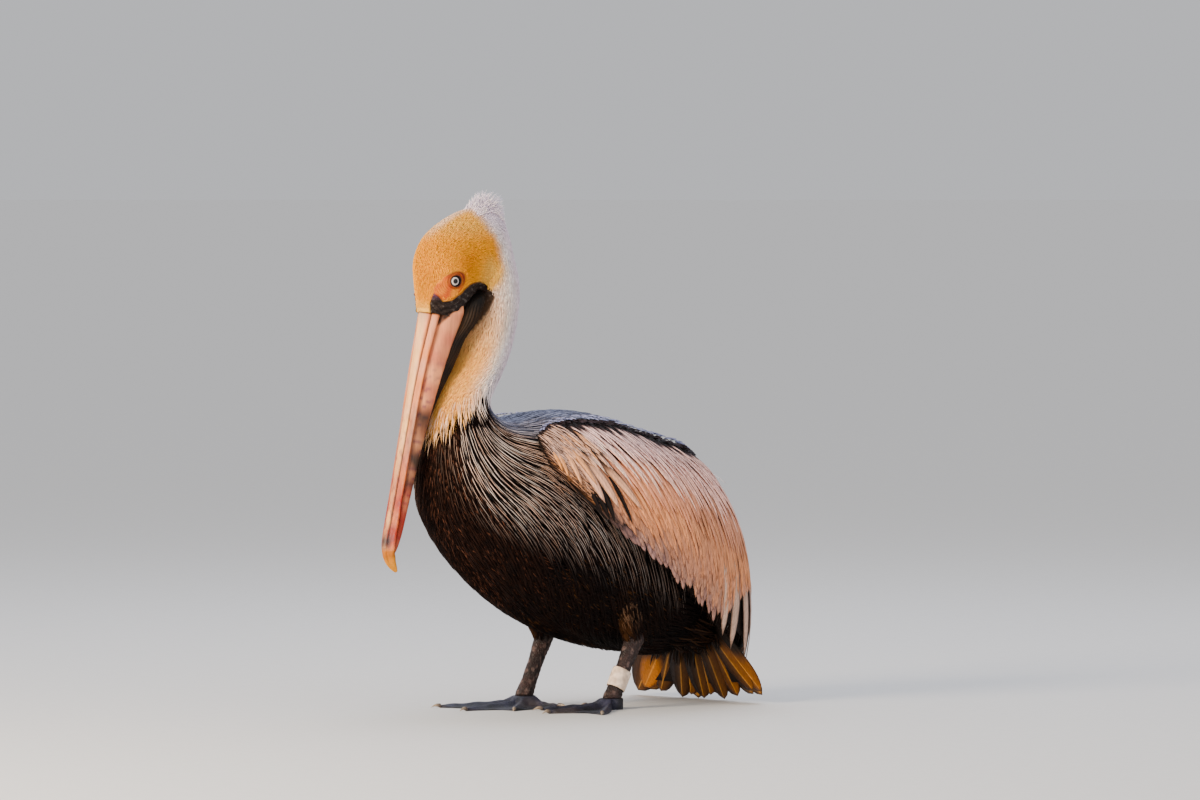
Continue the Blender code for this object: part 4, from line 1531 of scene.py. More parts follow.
    def stand(
        self, name: str, t: Array, phi: Array, sizes: Array, half: Array, lift: tuple[Array, Array, Array],
        wander: float, base: Array, seed: int,
    ) -> bpy.types.Object:
        """Down that stands away from the body.

        Args:
            name: the piece's name.
            t: roots' ribs.
            phi: roots' angles.
            sizes: lengths.
            half: half widths.
            lift: heights at root, middle and tip.
            wander: how far the bearings spread, in radians.
            base: colours.
            seed: the random order.

        Returns:
            bpy.types.Object: the piece.
        """
        bearing = np.random.default_rng(seed).normal(0, wander, len(t))
        blades = Blades(BODY, t, phi, sizes, half, 0.45, lift, bearing)
        made = blades.build(name, lambda s, across: base[None, :, None] * (0.86 + 0.18 * s[..., None]))
        return finish_piece(made, DOWN, "neck_plumage")

    def apron(self, side: Side) -> bpy.types.Object:
        """Flank feathers whose tips lie over the front edge of a folded wing.

        Args:
            side: whose wing.

        Returns:
            bpy.types.Object: the piece.
        """
        rng = np.random.default_rng(60 + side.value)
        count = 240
        t = rng.uniform(15.9, 19.2, count * 6)
        phi = rng.uniform(0.2, 0.62, count * 6) * math.pi
        x, f, z, _ = BODY.own(t, phi)
        edge = np.interp(z, (170, 216, 266, 288, 306, 320), (8, 62, 104, 112, 108, 96))
        keep = np.flatnonzero((f > edge - 2) & (f < edge + 13) & (x > 30) & (z < 290))[:count]
        t, phi = t[keep], phi[keep]
        count = len(keep)
        high = rng.uniform(3.5, 6.5, count)
        turn = phi if side is Side.LEFT else 2 * math.pi - phi
        blades = Blades(
            BODY, t, turn, rng.uniform(22, 32, count), rng.uniform(0.9, 1.3, count), 0.8,
            (-BODY.depth(t), high * 0.6, high),
            rng.normal(0, 0.05, count) - side.value * rng.uniform(0.2, 0.36, count),
            stations=5, section=Section.RIBBON,
        )
        base = mix(BLACK, DARK, rng.random(count))
        pale = mix(linear("FFD8C4"), linear("E0AC8C"), rng.random(count))
        colour = ridged(base, pale, rng.uniform(0.6, 1.0, count), 0.26)
        return finish_piece(blades.build(f"coat_apron_{side.label}", colour), FEATHER, "body_plumage")

    def crest(self) -> bpy.types.Object:
        """The crest behind the crown, where long down stands up and away from the skull.

        Returns:
            bpy.types.Object: the piece.
        """
        rng = np.random.default_rng(41)
        count = 700
        t, phi = scatter(BODY, count, (6.15, 7.75), (-0.6, 0.6), None, 41)
        high = np.interp(t, (6.15, 6.4, 6.8, 7.15, 7.45, 7.75), (4, 13, 17, 17, 9, 1.0))
        high = high * np.exp(-((phi / 0.42) ** 2)) * rng.uniform(0.75, 1.15, count) + 0.8
        # painted sky-lit shade: the white crest's down takes a lavender cast at random
        base = mix(WHITE, SKYLIT_LAVENDER, rng.random(count))
        return self.stand(
            "coat_crest", t, phi, rng.uniform(4, 6, count) + 0.05 * high, rng.uniform(0.45, 0.8, count),
            (-BODY.depth(t), 0.45 * high, high), 0.3, base, 42,
        )

    def hem(self) -> bpy.types.Object:
        """Pointed pale strands of the neck's lower edge that lie over the dark breast.

        Returns:
            bpy.types.Object: the piece.
        """
        rng = np.random.default_rng(43)
        count = 420
        phi = (np.arange(count) * GOLDEN_STEP % 1.0) * 2 * math.pi
        t = MARKS.hem(phi) + rng.uniform(-0.7, 0.4, count)
        lift = (-BODY.depth(t) * 0.8, 0.7, rng.uniform(0.3, 1.3, count))
        base = mix(MARKS.plumage(MARKS.hem(phi) - 0.8, phi), WHITE, rng.uniform(0.0, 0.5, count))
        return self.stand(
            "coat_hem", t, phi, rng.uniform(14, 28, count), rng.uniform(0.45, 0.85, count),
            lift, 0.08, base, 44,
        )

    def build(self) -> None:
        """Grows every patch, the flanks, the mantle, the aprons, the crest and the hem."""
        for patch in self.patches:
            self.grow(patch)
        for lanes in self.lanes:
            self.comb(lanes)
        for side in Side:
            self.apron(side)
        self.crest()
        self.hem()


@dataclass(frozen=True)
class Row:
    """One row of a wing's feathers: its roots, their number, and how the feathers go.

    `a` is the roots' place down the wing, `top` the tips' height, and `comb` the share
    of the length that stays dark at the root.
    """

    a: float
    count: int
    length: Span
    half: float
    top: float
    tone: tuple[str, str]
    comb: float = 0.05
    start: float = 0.3
    stop: float = 7.85


@dataclass
class Feathers:
    """Vaned feathers; where a single number stands for a list, it holds for all.

    `low`, `mid` and `high` are heights over the form, as Blades' `lift`. `tone` holds
    the colours, `rim` says how dark the edges are, and `split` how dark one half is.
    """

    a: Array
    b: Array
    length: Array
    half: Array | float
    low: Array | float
    mid: Array | float
    high: Array | float
    bearing: Array | float
    tone: Array
    comb: Array | float
    rim: Array | float
    split: Array | float = 0.0


@dataclass
class Vanes:
    """Rows of vaned feathers on one form, built as one piece."""

    form: Form
    slot: str
    rows: list[Feathers] = field(default_factory=list)

    def every(self, name: str) -> Array:
        """A value of that name for every feather of all rows."""
        return np.concatenate([np.broadcast_to(getattr(row, name), len(row.b)) for row in self.rows])

    def build(
        self, name: str, shaft: str, dark: str, stations: int = 9, blunt: float = 2.0, turned: bool = False
    ) -> bpy.types.Object:
        """Builds all feathers as one piece.

        Args:
            name: the piece's name.
            shaft: the shafts' colour.
            dark: the colour of rims and of combed roots.
            stations: how many rings a feather has.
            blunt: how late the feather narrows to its tip.
            turned: whether their outer faces look down from the form.

        Returns:
            bpy.types.Object: the piece.
        """
        tone = np.concatenate([row.tone for row in self.rows])[None, :, None]
        comb, rim, split = (self.every(key)[None, :, None] for key in ("comb", "rim", "split"))
        count = tone.shape[1]
        rng = np.random.default_rng(count)
        blades = Blades(
            self.form, self.every("a"), self.every("b"), self.every("length"), self.every("half"), 0.7,
            (self.every("low"), self.every("mid"), self.every("high")), self.every("bearing"),
            curl=rng.normal(0, 0.05, count), roll=rng.normal(0.02, 0.03, count) + math.pi * turned,
            stations=stations, section=Section.VANE, blunt=blunt, base_width=0.5,
        )

        def colour(s: Array, across: Array) -> Array:
            """Dark combed roots, paler vanes, a fine shaft line and darker rims.

            Args:
                s: shares along, as (station, 1, 1).
                across: places across, as (1, 1, section).

            Returns:
                Array: station by blade by section colours.
            """
            aside = np.abs(across)
            root = 1 - ease(0.0, 0.22, s - comb - 0.3 * aside * comb)
            return layered(
                tone * (0.78 + 0.26 * ease(0.0, 0.8, s))[..., None],
                (dark, split * (across > 0)),
                (shaft, np.exp(-((aside / 0.06) ** 2)) * 0.5),
                (dark, np.clip(np.maximum(ease(0.55, 1.0, aside) * rim, root), 0, 1)),
            )

        return finish_piece(blades.build(name, colour), QUILL, self.slot)


def aim(form: Form, start: Array, end: Array) -> tuple[Array, Array]:
    """Bearing and length of straight feathers between two rows of places.

    Args:
        form: the form that both lie on.
        start: root parameters, one row of (a, b) for each feather.
        end: tip parameters, the same way.

    Returns:
        tuple: bearings in radians and lengths in millimetres.
    """
    root, along, across = form.local(start[:, 0], start[:, 1])
    tip = form.local(end[:, 0], end[:, 1])[0]
    normal = form.normal(along, across)
    ahead = unit(along)
    aside = np.cross(normal, ahead) * form.facing
    way = tip - root
    return np.arctan2(dots(way, aside), dots(way, ahead)), np.linalg.norm(way, axis=1) / MM


@dataclass
class WingCoat:
    """The feathers of one folded wing, row over row like tiles.

    Long and dark scapulars run from their roots to their tips, both given by the
    wing's two parameters.
    """

    side: Side
    form: WingForm = field(init=False)
    rng: np.random.Generator = field(init=False)
    flight: tuple[Row, ...] = (
        Row(0.90, 46, (24, 36), 3.5, 0.2, ("A87A66", "80646A"), start=1.3, stop=4.7),
        Row(0.80, 52, (38, 56), 3.7, 0.4, ("BE8462", "90706C"), start=1.1, stop=5.2),
        Row(0.70, 62, (54, 74), 3.8, 0.5, ("D08A60", "A87866"), start=0.9, stop=5.9),
        Row(0.60, 70, (66, 88), 3.8, 0.6, ("DC8E5C", "B47C64")),
    )
    coverts: tuple[Row, ...] = (
        Row(0.50, 74, (74, 98), 3.7, 0.6, ("E29058", "BC8062")),
        Row(0.40, 78, (72, 98), 3.5, 0.6, ("E4945E", "C08668")),
        Row(0.30, 82, (66, 92), 3.2, 0.7, ("E4946A", "C48A70")),
        Row(0.21, 88, (54, 82), 2.8, 0.7, ("FABCA2", "E2B0A2"), comb=0.04),
        Row(0.13, 96, (42, 66), 2.4, 0.8, ("FCC4B4", "E0B8B2"), comb=0.08),
        Row(0.065, 120, (32, 50), 1.7, 0.9, ("EEBEB0", "C4A8AA"), comb=0.22),
        Row(0.02, 140, (6, 11), 1.5, 1.0, ("14101A", "2A2432"), comb=0.9),
        Row(-0.02, 100, (7, 11), 2.4, 1.2, ("5E6286", "8A90B0"), comb=0.0),
    )
    long_roots: Table = (
        (0.20, 0.95), (0.32, 1.2), (0.38, 1.55), (0.16, 0.75), (0.2, 0.95), (0.16, 0.45), (0.2, 0.3),
    )
    long_tips: Table = (
        (1.0, 0.86), (0.87, 1.38), (0.78, 1.95), (0.93, 0.56), (0.78, 0.96), (0.93, 0.32), (0.98, 0.12),
    )
    long_half: Floats = (6.4, 6.0, 5.2, 4.2, 4.0, 3.4, 3.0)
    dark_roots: Table = ((0.5, 1.1), (0.5, 1.32), (0.45, 1.62), (0.5, 0.95))
    dark_tips: Table = ((1.03, 1.08), (0.98, 1.28), (0.92, 1.66), (1.04, 0.92))
    dark_half: Floats = (4.2, 4.0, 2.6, 3.6)

    def __post_init__(self) -> None:
        """Takes up the side's wing, and its own random order."""
        self.form = WINGS[self.side]
        self.rng = np.random.default_rng(70 + self.side.value)

    def vanes(self) -> Vanes:
        """An empty set of vaned feathers on this wing."""
        return Vanes(self.form, "wing_plumage")

    def lay(self, vanes: Vanes, row: Row) -> None:
        """Lays out one row.

        Args:
            vanes: where the row is added.
            row: its sizes.
        """
        rng, count = self.rng, row.count
        b = np.linspace(row.start, row.stop, count) + rng.normal(0, 0.03, count)
        a = np.clip(row.a + rng.uniform(-0.045, 0.045, count) * min(1.0, 0.3 + 6 * abs(row.a)), -0.03, 0.95)
        size = rng.uniform(*row.length, count) * np.interp(b, [0, 1, 2.5, 8], [0.42, 0.62, 1, 1])
        room = (1.04 - a - 0.26 * ease(4.3, 6.0, b)) * self.lengthwise(a, b)
        size = np.minimum(size, np.maximum(room, 10))
        tip = row.top + rng.uniform(-0.35, 0.35, count)
        here = self.form.flat(a, np.clip(b, 0, 8))
        tone = mix(linear(row.tone[0]), linear(row.tone[1]), 0.5 + 0.3 * mottle(here, 0.05, 31))
        light = rng.uniform(0.96, 1.24, count) + 0.35 * ease(4.6, 1.6, b) * ease(0.62, 0.25, a)
        tone = layered(
            tone * light[:, None],
            ("9C92A0", ease(6.0, 7.6, b) * 0.35),
            # painted shade: the lower rows at the wing's front, next to the breast, darkened
            ("2A1C16", ease(0.62, 0.8, a) * ease(2.0, 1.2, b) * 0.85),
        )
        comb = row.comb * rng.uniform(0.5, 1.3, count) * np.interp(b, (0, 2, 5, 8), (0.6, 0.8, 1.2, 1.5))
        vanes.rows.append(Feathers(
            a=a, b=b, length=size, half=row.half * rng.uniform(0.85, 1.15, count),
            low=-3.4, mid=tip * 0.6 - 0.7, high=tip,
            bearing=rng.normal(0, 0.035, count) - np.interp(b, [0, 2, 4, 8], [0.34, 0.2, 0.06, -0.04]),
            tone=tone, comb=comb + 0.2 * ease(1.2, 0.3, b), rim=np.where(rng.random(count) < 0.06, 0.7, 0.2),
        ))

    def lengthwise(self, a: Array, b: Array) -> Array:
        """The wing's length from its upper edge to the tips at a place, in millimetres."""
        return np.linalg.norm(self.form.local(a, b)[1], axis=-1) / MM

    def scapulars(self) -> bpy.types.Object:
        """Streaked shoulder feathers that fan over the wing's front, three of them long.

        Returns:
            bpy.types.Object: the piece.
        """
        rng = self.rng
        count = 64
        a = rng.uniform(0.02, 0.34, count)
        b = rng.uniform(0.2, 1.5, count) + 0.5 * a
        tone = mix(linear("F0BCA0"), linear("DC9868"), rng.random(count))
        high = rng.uniform(1.4, 2.4, count)
        vanes = self.vanes()
        vanes.rows.append(Feathers(
            a=a, b=b, length=rng.uniform(26, 44, count), half=rng.uniform(1.7, 2.6, count),
            low=-2.5, mid=high * 0.8, high=high, bearing=rng.normal(-0.32, 0.06, count), tone=tone,
            comb=rng.uniform(0.15, 0.5, count), rim=0.95,
        ))
        for roots, tips, half, low, rim, light in (
            (self.dark_roots, self.dark_tips, self.dark_half, 1.6, 0.9, False),
            (self.long_roots, self.long_tips, self.long_half, 2.8, 0.6, True),
        ):
            places = np.array(roots)
            bearing, length = aim(self.form, places, np.array(tips))
            many = len(places)
            share = np.linspace(0, 1, many)
            tone = mix(linear("F4B898"), linear("E09450"), share) if light else np.tile(BLACK, (many, 1))
            rise = low + 0.5 * rng.random(many)
            vanes.rows.append(Feathers(
                a=places[:, 0], b=places[:, 1], length=length, half=np.array(half), low=-2.5, mid=rise,
                high=rise + 0.8 * share + 0.4, bearing=bearing, tone=tone, comb=0.14,
                rim=rim + 0.4 * share * light,
            ))
        return vanes.build(f"wing_{self.side.label}_scapulars", "5A3A26", "1C120E", blunt=3.4)

    def shoulder(self) -> bpy.types.Object:
        """Dark feathers with pale ridges that run from the breast on to the wing's front.

        Returns:
            bpy.types.Object: the piece.
        """
        rng = self.rng
        count = 330
        share = np.arange(count) * GOLDEN_STEP % 1.0
        a = np.linspace(-0.02, 0.92, count)
        reach = np.interp(a, (0, 0.4, 1.0), (1.1, 0.75, 0.9))
        b = 0.01 + reach * share**1.2
        high = rng.uniform(0.8, 1.6, count) + 1.3 * ease(0.6, 0.0, b)
        blades = Blades(
            self.form, a, b, rng.uniform(24, 40, count), rng.uniform(1.3, 2.0, count), 0.8,
            (-3.2, high, high + 0.2), rng.normal(-0.3, 0.07, count) - 0.25 * a,
            stations=5, section=Section.RIBBON,
        )
        base = mix(BLACK, DARK, rng.random(count))
        pale = mix(linear("FFCEB8"), linear("E09458"), ease(0.25, 0.8, a) * rng.uniform(0.5, 1, count))
        show = rng.uniform(0.7, 1.0, count) * ease(0.95, 0.8, a)
        colour = ridged(base, pale, show, np.interp(b, (0.0, 0.25, 0.7, 1.1), (0.32, 0.36, 0.46, 0.6)))
        made = blades.build(f"wing_{self.side.label}_shoulder", colour)
        return finish_piece(made, FEATHER, "wing_plumage")

    def lining(self) -> bpy.types.Object:
        """Black feathers under the wing whose tips show below its lower edge.

        Returns:
            bpy.types.Object: the piece.
        """
        rng = self.rng
        count = 260
        a, b = rng.uniform(0.6, 0.85, count), rng.uniform(2.0, 7.95, count)
        past = rng.uniform(3, 13, count) * ease(1.5, 4.5, b) * (1 - 0.8 * ease(5.2, 6.4, b))
        size = (1.0 - a) * self.lengthwise(a, b) + past
        deep = rng.uniform(4.5, 8.0, count) * (1 + 1.1 * ease(4.5, 6.5, b) * rng.random(count))
        blades = Blades(
            self.form, a, b, size, rng.uniform(2.0, 3.2, count), 0.8, (-deep, -deep, -deep * 0.8),
            rng.normal(0.05, 0.12, count), stations=5, section=Section.RIBBON,
        )
        base = mix(BLACK, linear("2C1E18"), rng.random(count))
        colour = ridged(base, "4C4038", rng.random(count), 0.3)
        made = blades.build(f"wing_{self.side.label}_lining", colour)
        return finish_piece(made, FEATHER, "wing_plumage")

    def primaries(self) -> bpy.types.Object:
        """The long outer feathers whose tips show below the wing's rear.

        Returns:
            bpy.types.Object: the piece.
        """
        rng = self.rng
        count = 9
        tips = np.stack([np.linspace(0.98, 1.07, count), np.linspace(4.7, 7.9, count)], axis=1)
        roots = np.stack([np.full(count, 0.5), tips[:, 1] - 0.12], axis=1)
        bearing, length = aim(self.form, roots, tips)
        level = np.linspace(-0.2, 0.7, count) + 0.3 * (np.arange(count) % 2)
        vanes = self.vanes()
        vanes.rows.append(Feathers(
            a=roots[:, 0], b=roots[:, 1], length=1.2 * length,
            half=np.interp(tips[:, 1], (4.7, 6.2, 7.9), (7.0, 6.6, 5.4)),
            low=-3.0, mid=level + 0.1, high=level + 0.8, bearing=bearing,
            tone=mix(linear("CCA690"), linear("94786C"), rng.random(count)), comb=0.1, rim=0.8,
        ))
        return vanes.build(f"wing_{self.side.label}_primaries", "D8B8A0", "1E1618", blunt=5.0)

    def build(self) -> None:
        """Builds flight feathers, coverts and scapulars, and one feather that sticks out."""
        flight, coverts = self.vanes(), self.vanes()
        for row in self.flight:
            self.lay(flight, row)
        for row in self.coverts:
            self.lay(coverts, row)
        coverts.rows.append(Feathers(
            a=0.16, b=np.array([6.0]), length=26.0, half=2.0, low=-2.0, mid=3.0, high=8.0, bearing=-0.3,
            tone=WHITE[None] * 0.9, comb=0.0, rim=0.1,
        ))
        flight.build(f"wing_{self.side.label}_flight", "6A5A58", "2A2226", blunt=3.2)
        coverts.build(f"wing_{self.side.label}_coverts", "7C6258", "2C2226")
        self.scapulars()
        self.shoulder()
        self.lining()
        self.primaries()


@dataclass(frozen=True)
class TailCoat:
    """The tail: broad feathers side by side over a thin bed, with coverts.

    `ochre` says how strongly each broad feather shows its ochre colour.
    """

    ochre: Floats = (0.10, 1.0, 0.10, 0.08, 0.28, 0.1, 0.26, 0.16, 0.34, 0.3, 0.34)
    bed_thick: float = 2.4

    def corners(self) -> bpy.types.Object:
        """Long black feathers that close the corners between the rump, wings and tail.

        Returns:
            bpy.types.Object: the piece.
        """
        rng = np.random.default_rng(99)
        count = 560
        left = rng.random(count) < 0.55
        t = rng.uniform(24.4, 26.9, count)
        phi = rng.uniform(0.22, 0.86, count) * math.pi
        phi = np.where(left, phi, 2 * math.pi - phi)
        high = rng.uniform(1.0, 14.0, count) * ease(24.2, 25.6, t) * np.where(left, 2.0, 1.0)
        blades = Blades(
            BODY, t, phi, rng.uniform(38, 64, count) * np.where(left, 0.9, 1.0), rng.uniform(1.4, 2.4, count),
            0.8, (-BODY.depth(t), 0.5 * high, high), rng.normal(0, 0.2, count),
            stations=5, section=Section.RIBBON,
        )
        base = mix(BLACK, linear("2E1C12"), rng.random(count) ** 2)
        colour = ridged(base, "5A3C22", rng.random(count) ** 2 * 0.6, 0.4)
        return finish_piece(blades.build("rump_corners", colour), FEATHER, "body_plumage")

    def bed(self) -> bpy.types.Object:
        """A thin plate between the upper and the lower feathers.

        Returns:
            bpy.types.Object: the piece.
        """
        a, b = np.meshgrid(np.linspace(0, 0.86, 24), np.linspace(-0.95, 0.95, 40), indexing="ij")
        point, along, across = TAIL.local(a, b)
        half = TAIL.normal(along, across) * self.bed_thick / 2 * MM
        points, blocks = shell_arrays(point + half, point - half)
        made = make_mesh("tail_bed", points, blocks, np.tile(linear("1A1412"), (len(points), 1)))
        face_out(made)
        return finish_piece(made, FEATHER, "tail_plumage", "tail")

    def fan(self, upper: bool) -> bpy.types.Object:
        """The broad feathers as seen from above or from below.

        Args:
            upper: whether they lie on the upper face.

        Returns:
            bpy.types.Object: the piece.
        """
        rng = np.random.default_rng(91 + upper)
        count = len(self.ochre)
        b = np.linspace(-0.9, 0.92, count) + rng.normal(0, 0.02, count)
        a = np.full(count, 0.02)
        _, _, across = TAIL.local(np.full(count, 0.9), b)
        full = np.linalg.norm(TAIL.flat(np.full(count, 1.0), b) - TAIL.flat(a, b), axis=-1) / MM
        wide = np.linalg.norm(across, axis=-1) / MM
        level = np.where(np.arange(count) % 2 == 0, 1.2, 2.0) * (1.0 if upper else -1.0)
        share = np.array(self.ochre) * (0.3 if upper else 0.9)
        vanes = Vanes(TAIL, "tail_plumage")
        vanes.rows.append(Feathers(
            a=a, b=b, length=full * rng.uniform(0.99, 1.035, count),
            half=wide * rng.uniform(0.16, 0.2, count), low=level, mid=level, high=level * 0.6,
            bearing=rng.normal(0, 0.025, count),
            tone=mix(linear("2A180A"), linear("B46800"), share), comb=rng.uniform(0.25, 0.5, count), rim=0.45,
            split=rng.uniform(0.2, 0.9, count),
        ))
        name = "tail_upper" if upper else "tail_under"
        return vanes.build(name, "E8A040", "140C08", stations=24, blunt=8.0, turned=not upper)

    def coverts(self, upper: bool) -> bpy.types.Object:
        """Soft blackish feathers over the roots of the tail.

        Args:
            upper: whether they lie on the upper face.

        Returns:
            bpy.types.Object: the piece.
        """
        rng = np.random.default_rng(95 + upper)
        count = 260
        a = rng.uniform(-0.2, 0.4, count)
        b = rng.uniform(-1.02, 1.02, count)
        sign = 1.0 if upper else -1.0
        short = (1.15 - 0.8 * a) * (1 - 0.7 * ease(0.15, 0.55, b) * (not upper))
        vanes = Vanes(TAIL, "tail_plumage")
        vanes.rows.append(Feathers(
            a=a, b=b, length=rng.uniform(26, 50, count) * short, half=rng.uniform(1.3, 2.6, count),
            low=sign * 1.6, mid=sign * rng.uniform(3, 6, count), high=sign * rng.uniform(2.4, 8.0, count),
            bearing=rng.normal(0, 0.16, count),
            tone=mix(linear("0E0A0A"), linear("4A301C"), rng.random(count) ** 3), comb=0.1, rim=0.5,
        ))
        name = "tail_coverts_upper" if upper else "tail_coverts_under"
        return vanes.build(name, "3A2A20", "120C0B", stations=6, turned=not upper)

    def build(self) -> None:
        """Builds the corners, the bed, the tail feathers and the coverts over their roots."""
        self.corners()
        self.bed()
        for upper in (True, False):
            self.fan(upper)
            self.coverts(upper)


@dataclass(eq=False, kw_only=True)
class ThighForm(Form):
    """A feathered thigh: ellipses round the shank's upper axis, wide above.

    `a` is the station down the thigh and `b` the angle from the left to the tail.
    """

    leg: Leg
    facing: float = -1.0
    stations: Floats = (0.0, 0.35, 0.85, 1.0)
    wide: Floats = (17.0, 14.0, 9.8, 9.9)
    deep: Floats = (23.0, 18.0, 12.4, 12.4)

    def flat(self, a: Array, b: Array) -> Array:
        """World points of the thigh.

        Args:
            a: stations.
            b: angles.

        Returns:
            Array: points in metres.
        """
        a, b = np.broadcast_arrays(a, b)
        ahead = unit(self.leg.on_axis(np.ones_like(a)) - self.leg.on_axis(np.zeros_like(a)))
        forward = np.cross(ahead, LEFTWARDS)
        wide = np.interp(a, self.stations, self.wide)[..., None]
        deep = np.interp(a, self.stations, self.deep)[..., None]
        point = self.leg.on_axis(a) + np.cos(b)[..., None] * wide * LEFTWARDS
        point = point + np.sin(b)[..., None] * deep * forward
        return to_world(point[..., 0], point[..., 1], point[..., 2])


@dataclass(frozen=True)
class ThighCoat:
    """Dark feathers down one thigh, with pale streaks and a ginger patch outside."""

    leg: Leg
    count: int = 1000
    length: Span = (17, 27)
    half: Span = (0.8, 1.4)

    def build(self) -> bpy.types.Object:
        """Grows the feathers.

        Returns:
            bpy.types.Object: the piece.
        """
        side, count = self.leg.side, self.count
        rng = np.random.default_rng(120 + side.value)
        a, b = rng.uniform(-0.35, 0.62, count), rng.uniform(0, 2 * math.pi, count)
        high = rng.uniform(-0.8, 0.8, count)
        blades = Blades(
            ThighForm(leg=self.leg), a, b, rng.uniform(*self.length, count), rng.uniform(*self.half, count),
            0.6, (-4.0, 0.0, high), rng.normal(0, 0.1, count),
        )
        outside = np.cos(b) * side.value
        ginger = ease(0.2, 0.9, -np.sin(b)) * ease(-0.3, 0.1, a) * ease(-0.6, 0.2, outside) * 0.3
        base = mix(mix(BLACK, DARK, rng.random(count)), linear("5E3A18"), ginger)
        show = 0.7 * (rng.random(count) < 0.34) * ease(-0.1, 0.6, outside) * ease(0.5, 0.1, a)
        made = blades.build(f"thigh_{side.label}", ridged(base, "9A7458", show, 0.5))
        return finish_piece(made, FEATHER, "body_plumage")


# --- Bill, pouch and eyes --------------------------------------------------------------------------


@dataclass(frozen=True)
class Bill:
    """Upper and lower bill, as sections carried along the bill's own line.

    A rib is along and front of its front edge, the same of its rear edge, and its
    half width. The bare throat skin reaches up the lower bill to `skin_front`.
    """

    steps: int = 170
    around: int = 176
    groove_along: Floats = (0, 90, 250)
    groove_side: Floats = (0.64, 0.44, 0.38)
    skin_along: Floats = (-16, -8, 0, 12, 26)
    skin_front: Floats = (-33, -25, -17, -9, 3)
    upper_rows: Table = (
        (0.35, 9.5, 0.35, -6.0, 18.0),
        (26, 8.3, 26, -3.4, 16.4),
        (57, 7.8, 57, -0.6, 14.8),
        (98, 7.5, 98, 0.8, 13.4),
        (144, 7.8, 144, 1.2, 12.6),
        (195, 8.6, 195, 1.5, 12.0),
        (236, 9.6, 236, 1.6, 12.2),
        (254, 9.8, 254, 1.0, 12.0),
        (266, 8.0, 263, -0.8, 10.4),
        (274, 3.4, 267, -4.0, 8.0),
        (279.5, -3.2, 271.5, -7.0, 5.6),
        (282.3, -9.0, 277, -11.0, 3.4),
        (283.2, -13.0, 281.2, -14.0, 1.4),
    )
    lower_rows: Table = (
        (-16, -32.0, -16, -36.5, 17.0),
        (-8, -19.0, -8, -39.5, 21.2),
        (0.35, -6.4, 0.35, -40.5, 21.2),
        (26, -3.8, 26, -35.0, 19.0),
        (57, -1.0, 57, -29.5, 16.8),
        (98, 0.4, 98, -23.0, 14.4),
        (144, 0.8, 144, -17.0, 12.6),
        (195, 1.1, 195, -12.5, 11.3),
        (236, 1.2, 236, -9.2, 10.2),
        (250, 0.5, 250, -7.6, 9.0),
        (259.5, -1.8, 259.5, -6.2, 6.4),
        (264.5, -3.8, 264.5, -5.8, 2.6),
    )

    def sweep(self, rows: Table, front_share: Array, side_share: Array, at: Array) -> Array:
        """Rings through the ribs: rear + (front - rear) * share, and half * side.

        Args:
            rows: ribs as along and front of both edges, and the half width.
            front_share: each point's share of the way to the front edge.
            side_share: each point's share of the half width.
            at: the ribs' parameters, one for each ring.

        Returns:
            Array: ring by point by 3.
        """
        table = np.array([(*on_bill(r[0], r[1]), *on_bill(r[2], r[3]), r[4]) for r in rows])
        found = spline(table, at)[:, None, :]
        plane = found[..., 2:4] + (found[..., 0:2] - found[..., 2:4]) * front_share[..., None]
        return to_world(found[..., 4] * side_share, plane[..., 0], plane[..., 1], 1.0)

    def build_upper(self) -> bpy.types.Object:
        """The upper bill: a ridge over sloping sides, grooved on both, to a hooked nail.

        Returns:
            bpy.types.Object: the piece.
        """
        ends = len(self.upper_rows)
        at = np.linspace(0, ends - 1, self.steps)
        angle = circle(self.around)
        side, up = np.sin(angle), np.cos(angle)
        ridge = np.exp(-((side / 0.42) ** 2))
        along = np.interp(at, range(ends), [rib[0] for rib in self.upper_rows])[:, None]
        cut = np.interp(along, self.groove_along, self.groove_side)
        aside = np.abs(side)
        groove = 0.14 * np.exp(-(((aside - cut) / 0.05) ** 2))
        fade = ease(10.2, 8.4, at)[:, None]
        top = 0.16 + 0.46 * np.sqrt(np.clip(1 - side**2, 0, 1)) + 0.38 * ridge
        palate = 0.10 * (1 - side**2) + 0.02
        front = np.where(up >= -1e-9, top - groove * fade, palate + 0 * fade)
        wide = np.where(up < -1e-9, side * 0.96, side) + 0 * fade
        rings = self.sweep(self.upper_rows, front, wide, at)
        place = mottle(rings, 0.012, 50)
        fine = mottle(rings, 0.003, 51)
        murk = ease(90, 120, along) * ease(175, 140, along) * ease(0.3, 0.9, aside)
        red = ease(135, 195, along) * ease(266, 252, along) * (0.6 + 0.4 * ease(0.1, 0.4, aside))
        spot = np.exp(-(((along - 252) / 9.5) ** 2)) * ease(0.85, 0.5, aside) * (up > 0)
        line = np.exp(-(((aside - cut) / 0.055) ** 2)) * (up > 0) * ease(258, 248, along)
        colour = layered(
            mix(linear("F6B472"), linear("DE8048"), ease(0.3, 0.5, aside)),
            ("DC9C80", 0.15 + 0.25 * place),
            ("8A7478", ease(14, 0, along) * 0.45 * (0.6 + 0.4 * place)),
            ("5E5550", murk * 0.55),
            ("941A00", red * (0.75 + 0.25 * place)),
            ("6E3038", ease(0.4, 0.8, fine) * ease(60, 170, along) * 0.5),
            ("1E0E0A", line),
            ("24140C", ease(2.4, 0.8, along) * 0.8),
            ("2A2428", spot * 0.9),
            (mix(linear("AC5E00"), linear("D88A00"), ease(266, 282, along)), ease(258, 264, along)),
            ("7A4A3A", (up < -0.05) * 0.35),
        )
        made = tube_mesh("bill_upper", rings, colour)
        return finish_piece(made, HORN, "bill_horn", "upper_bill")

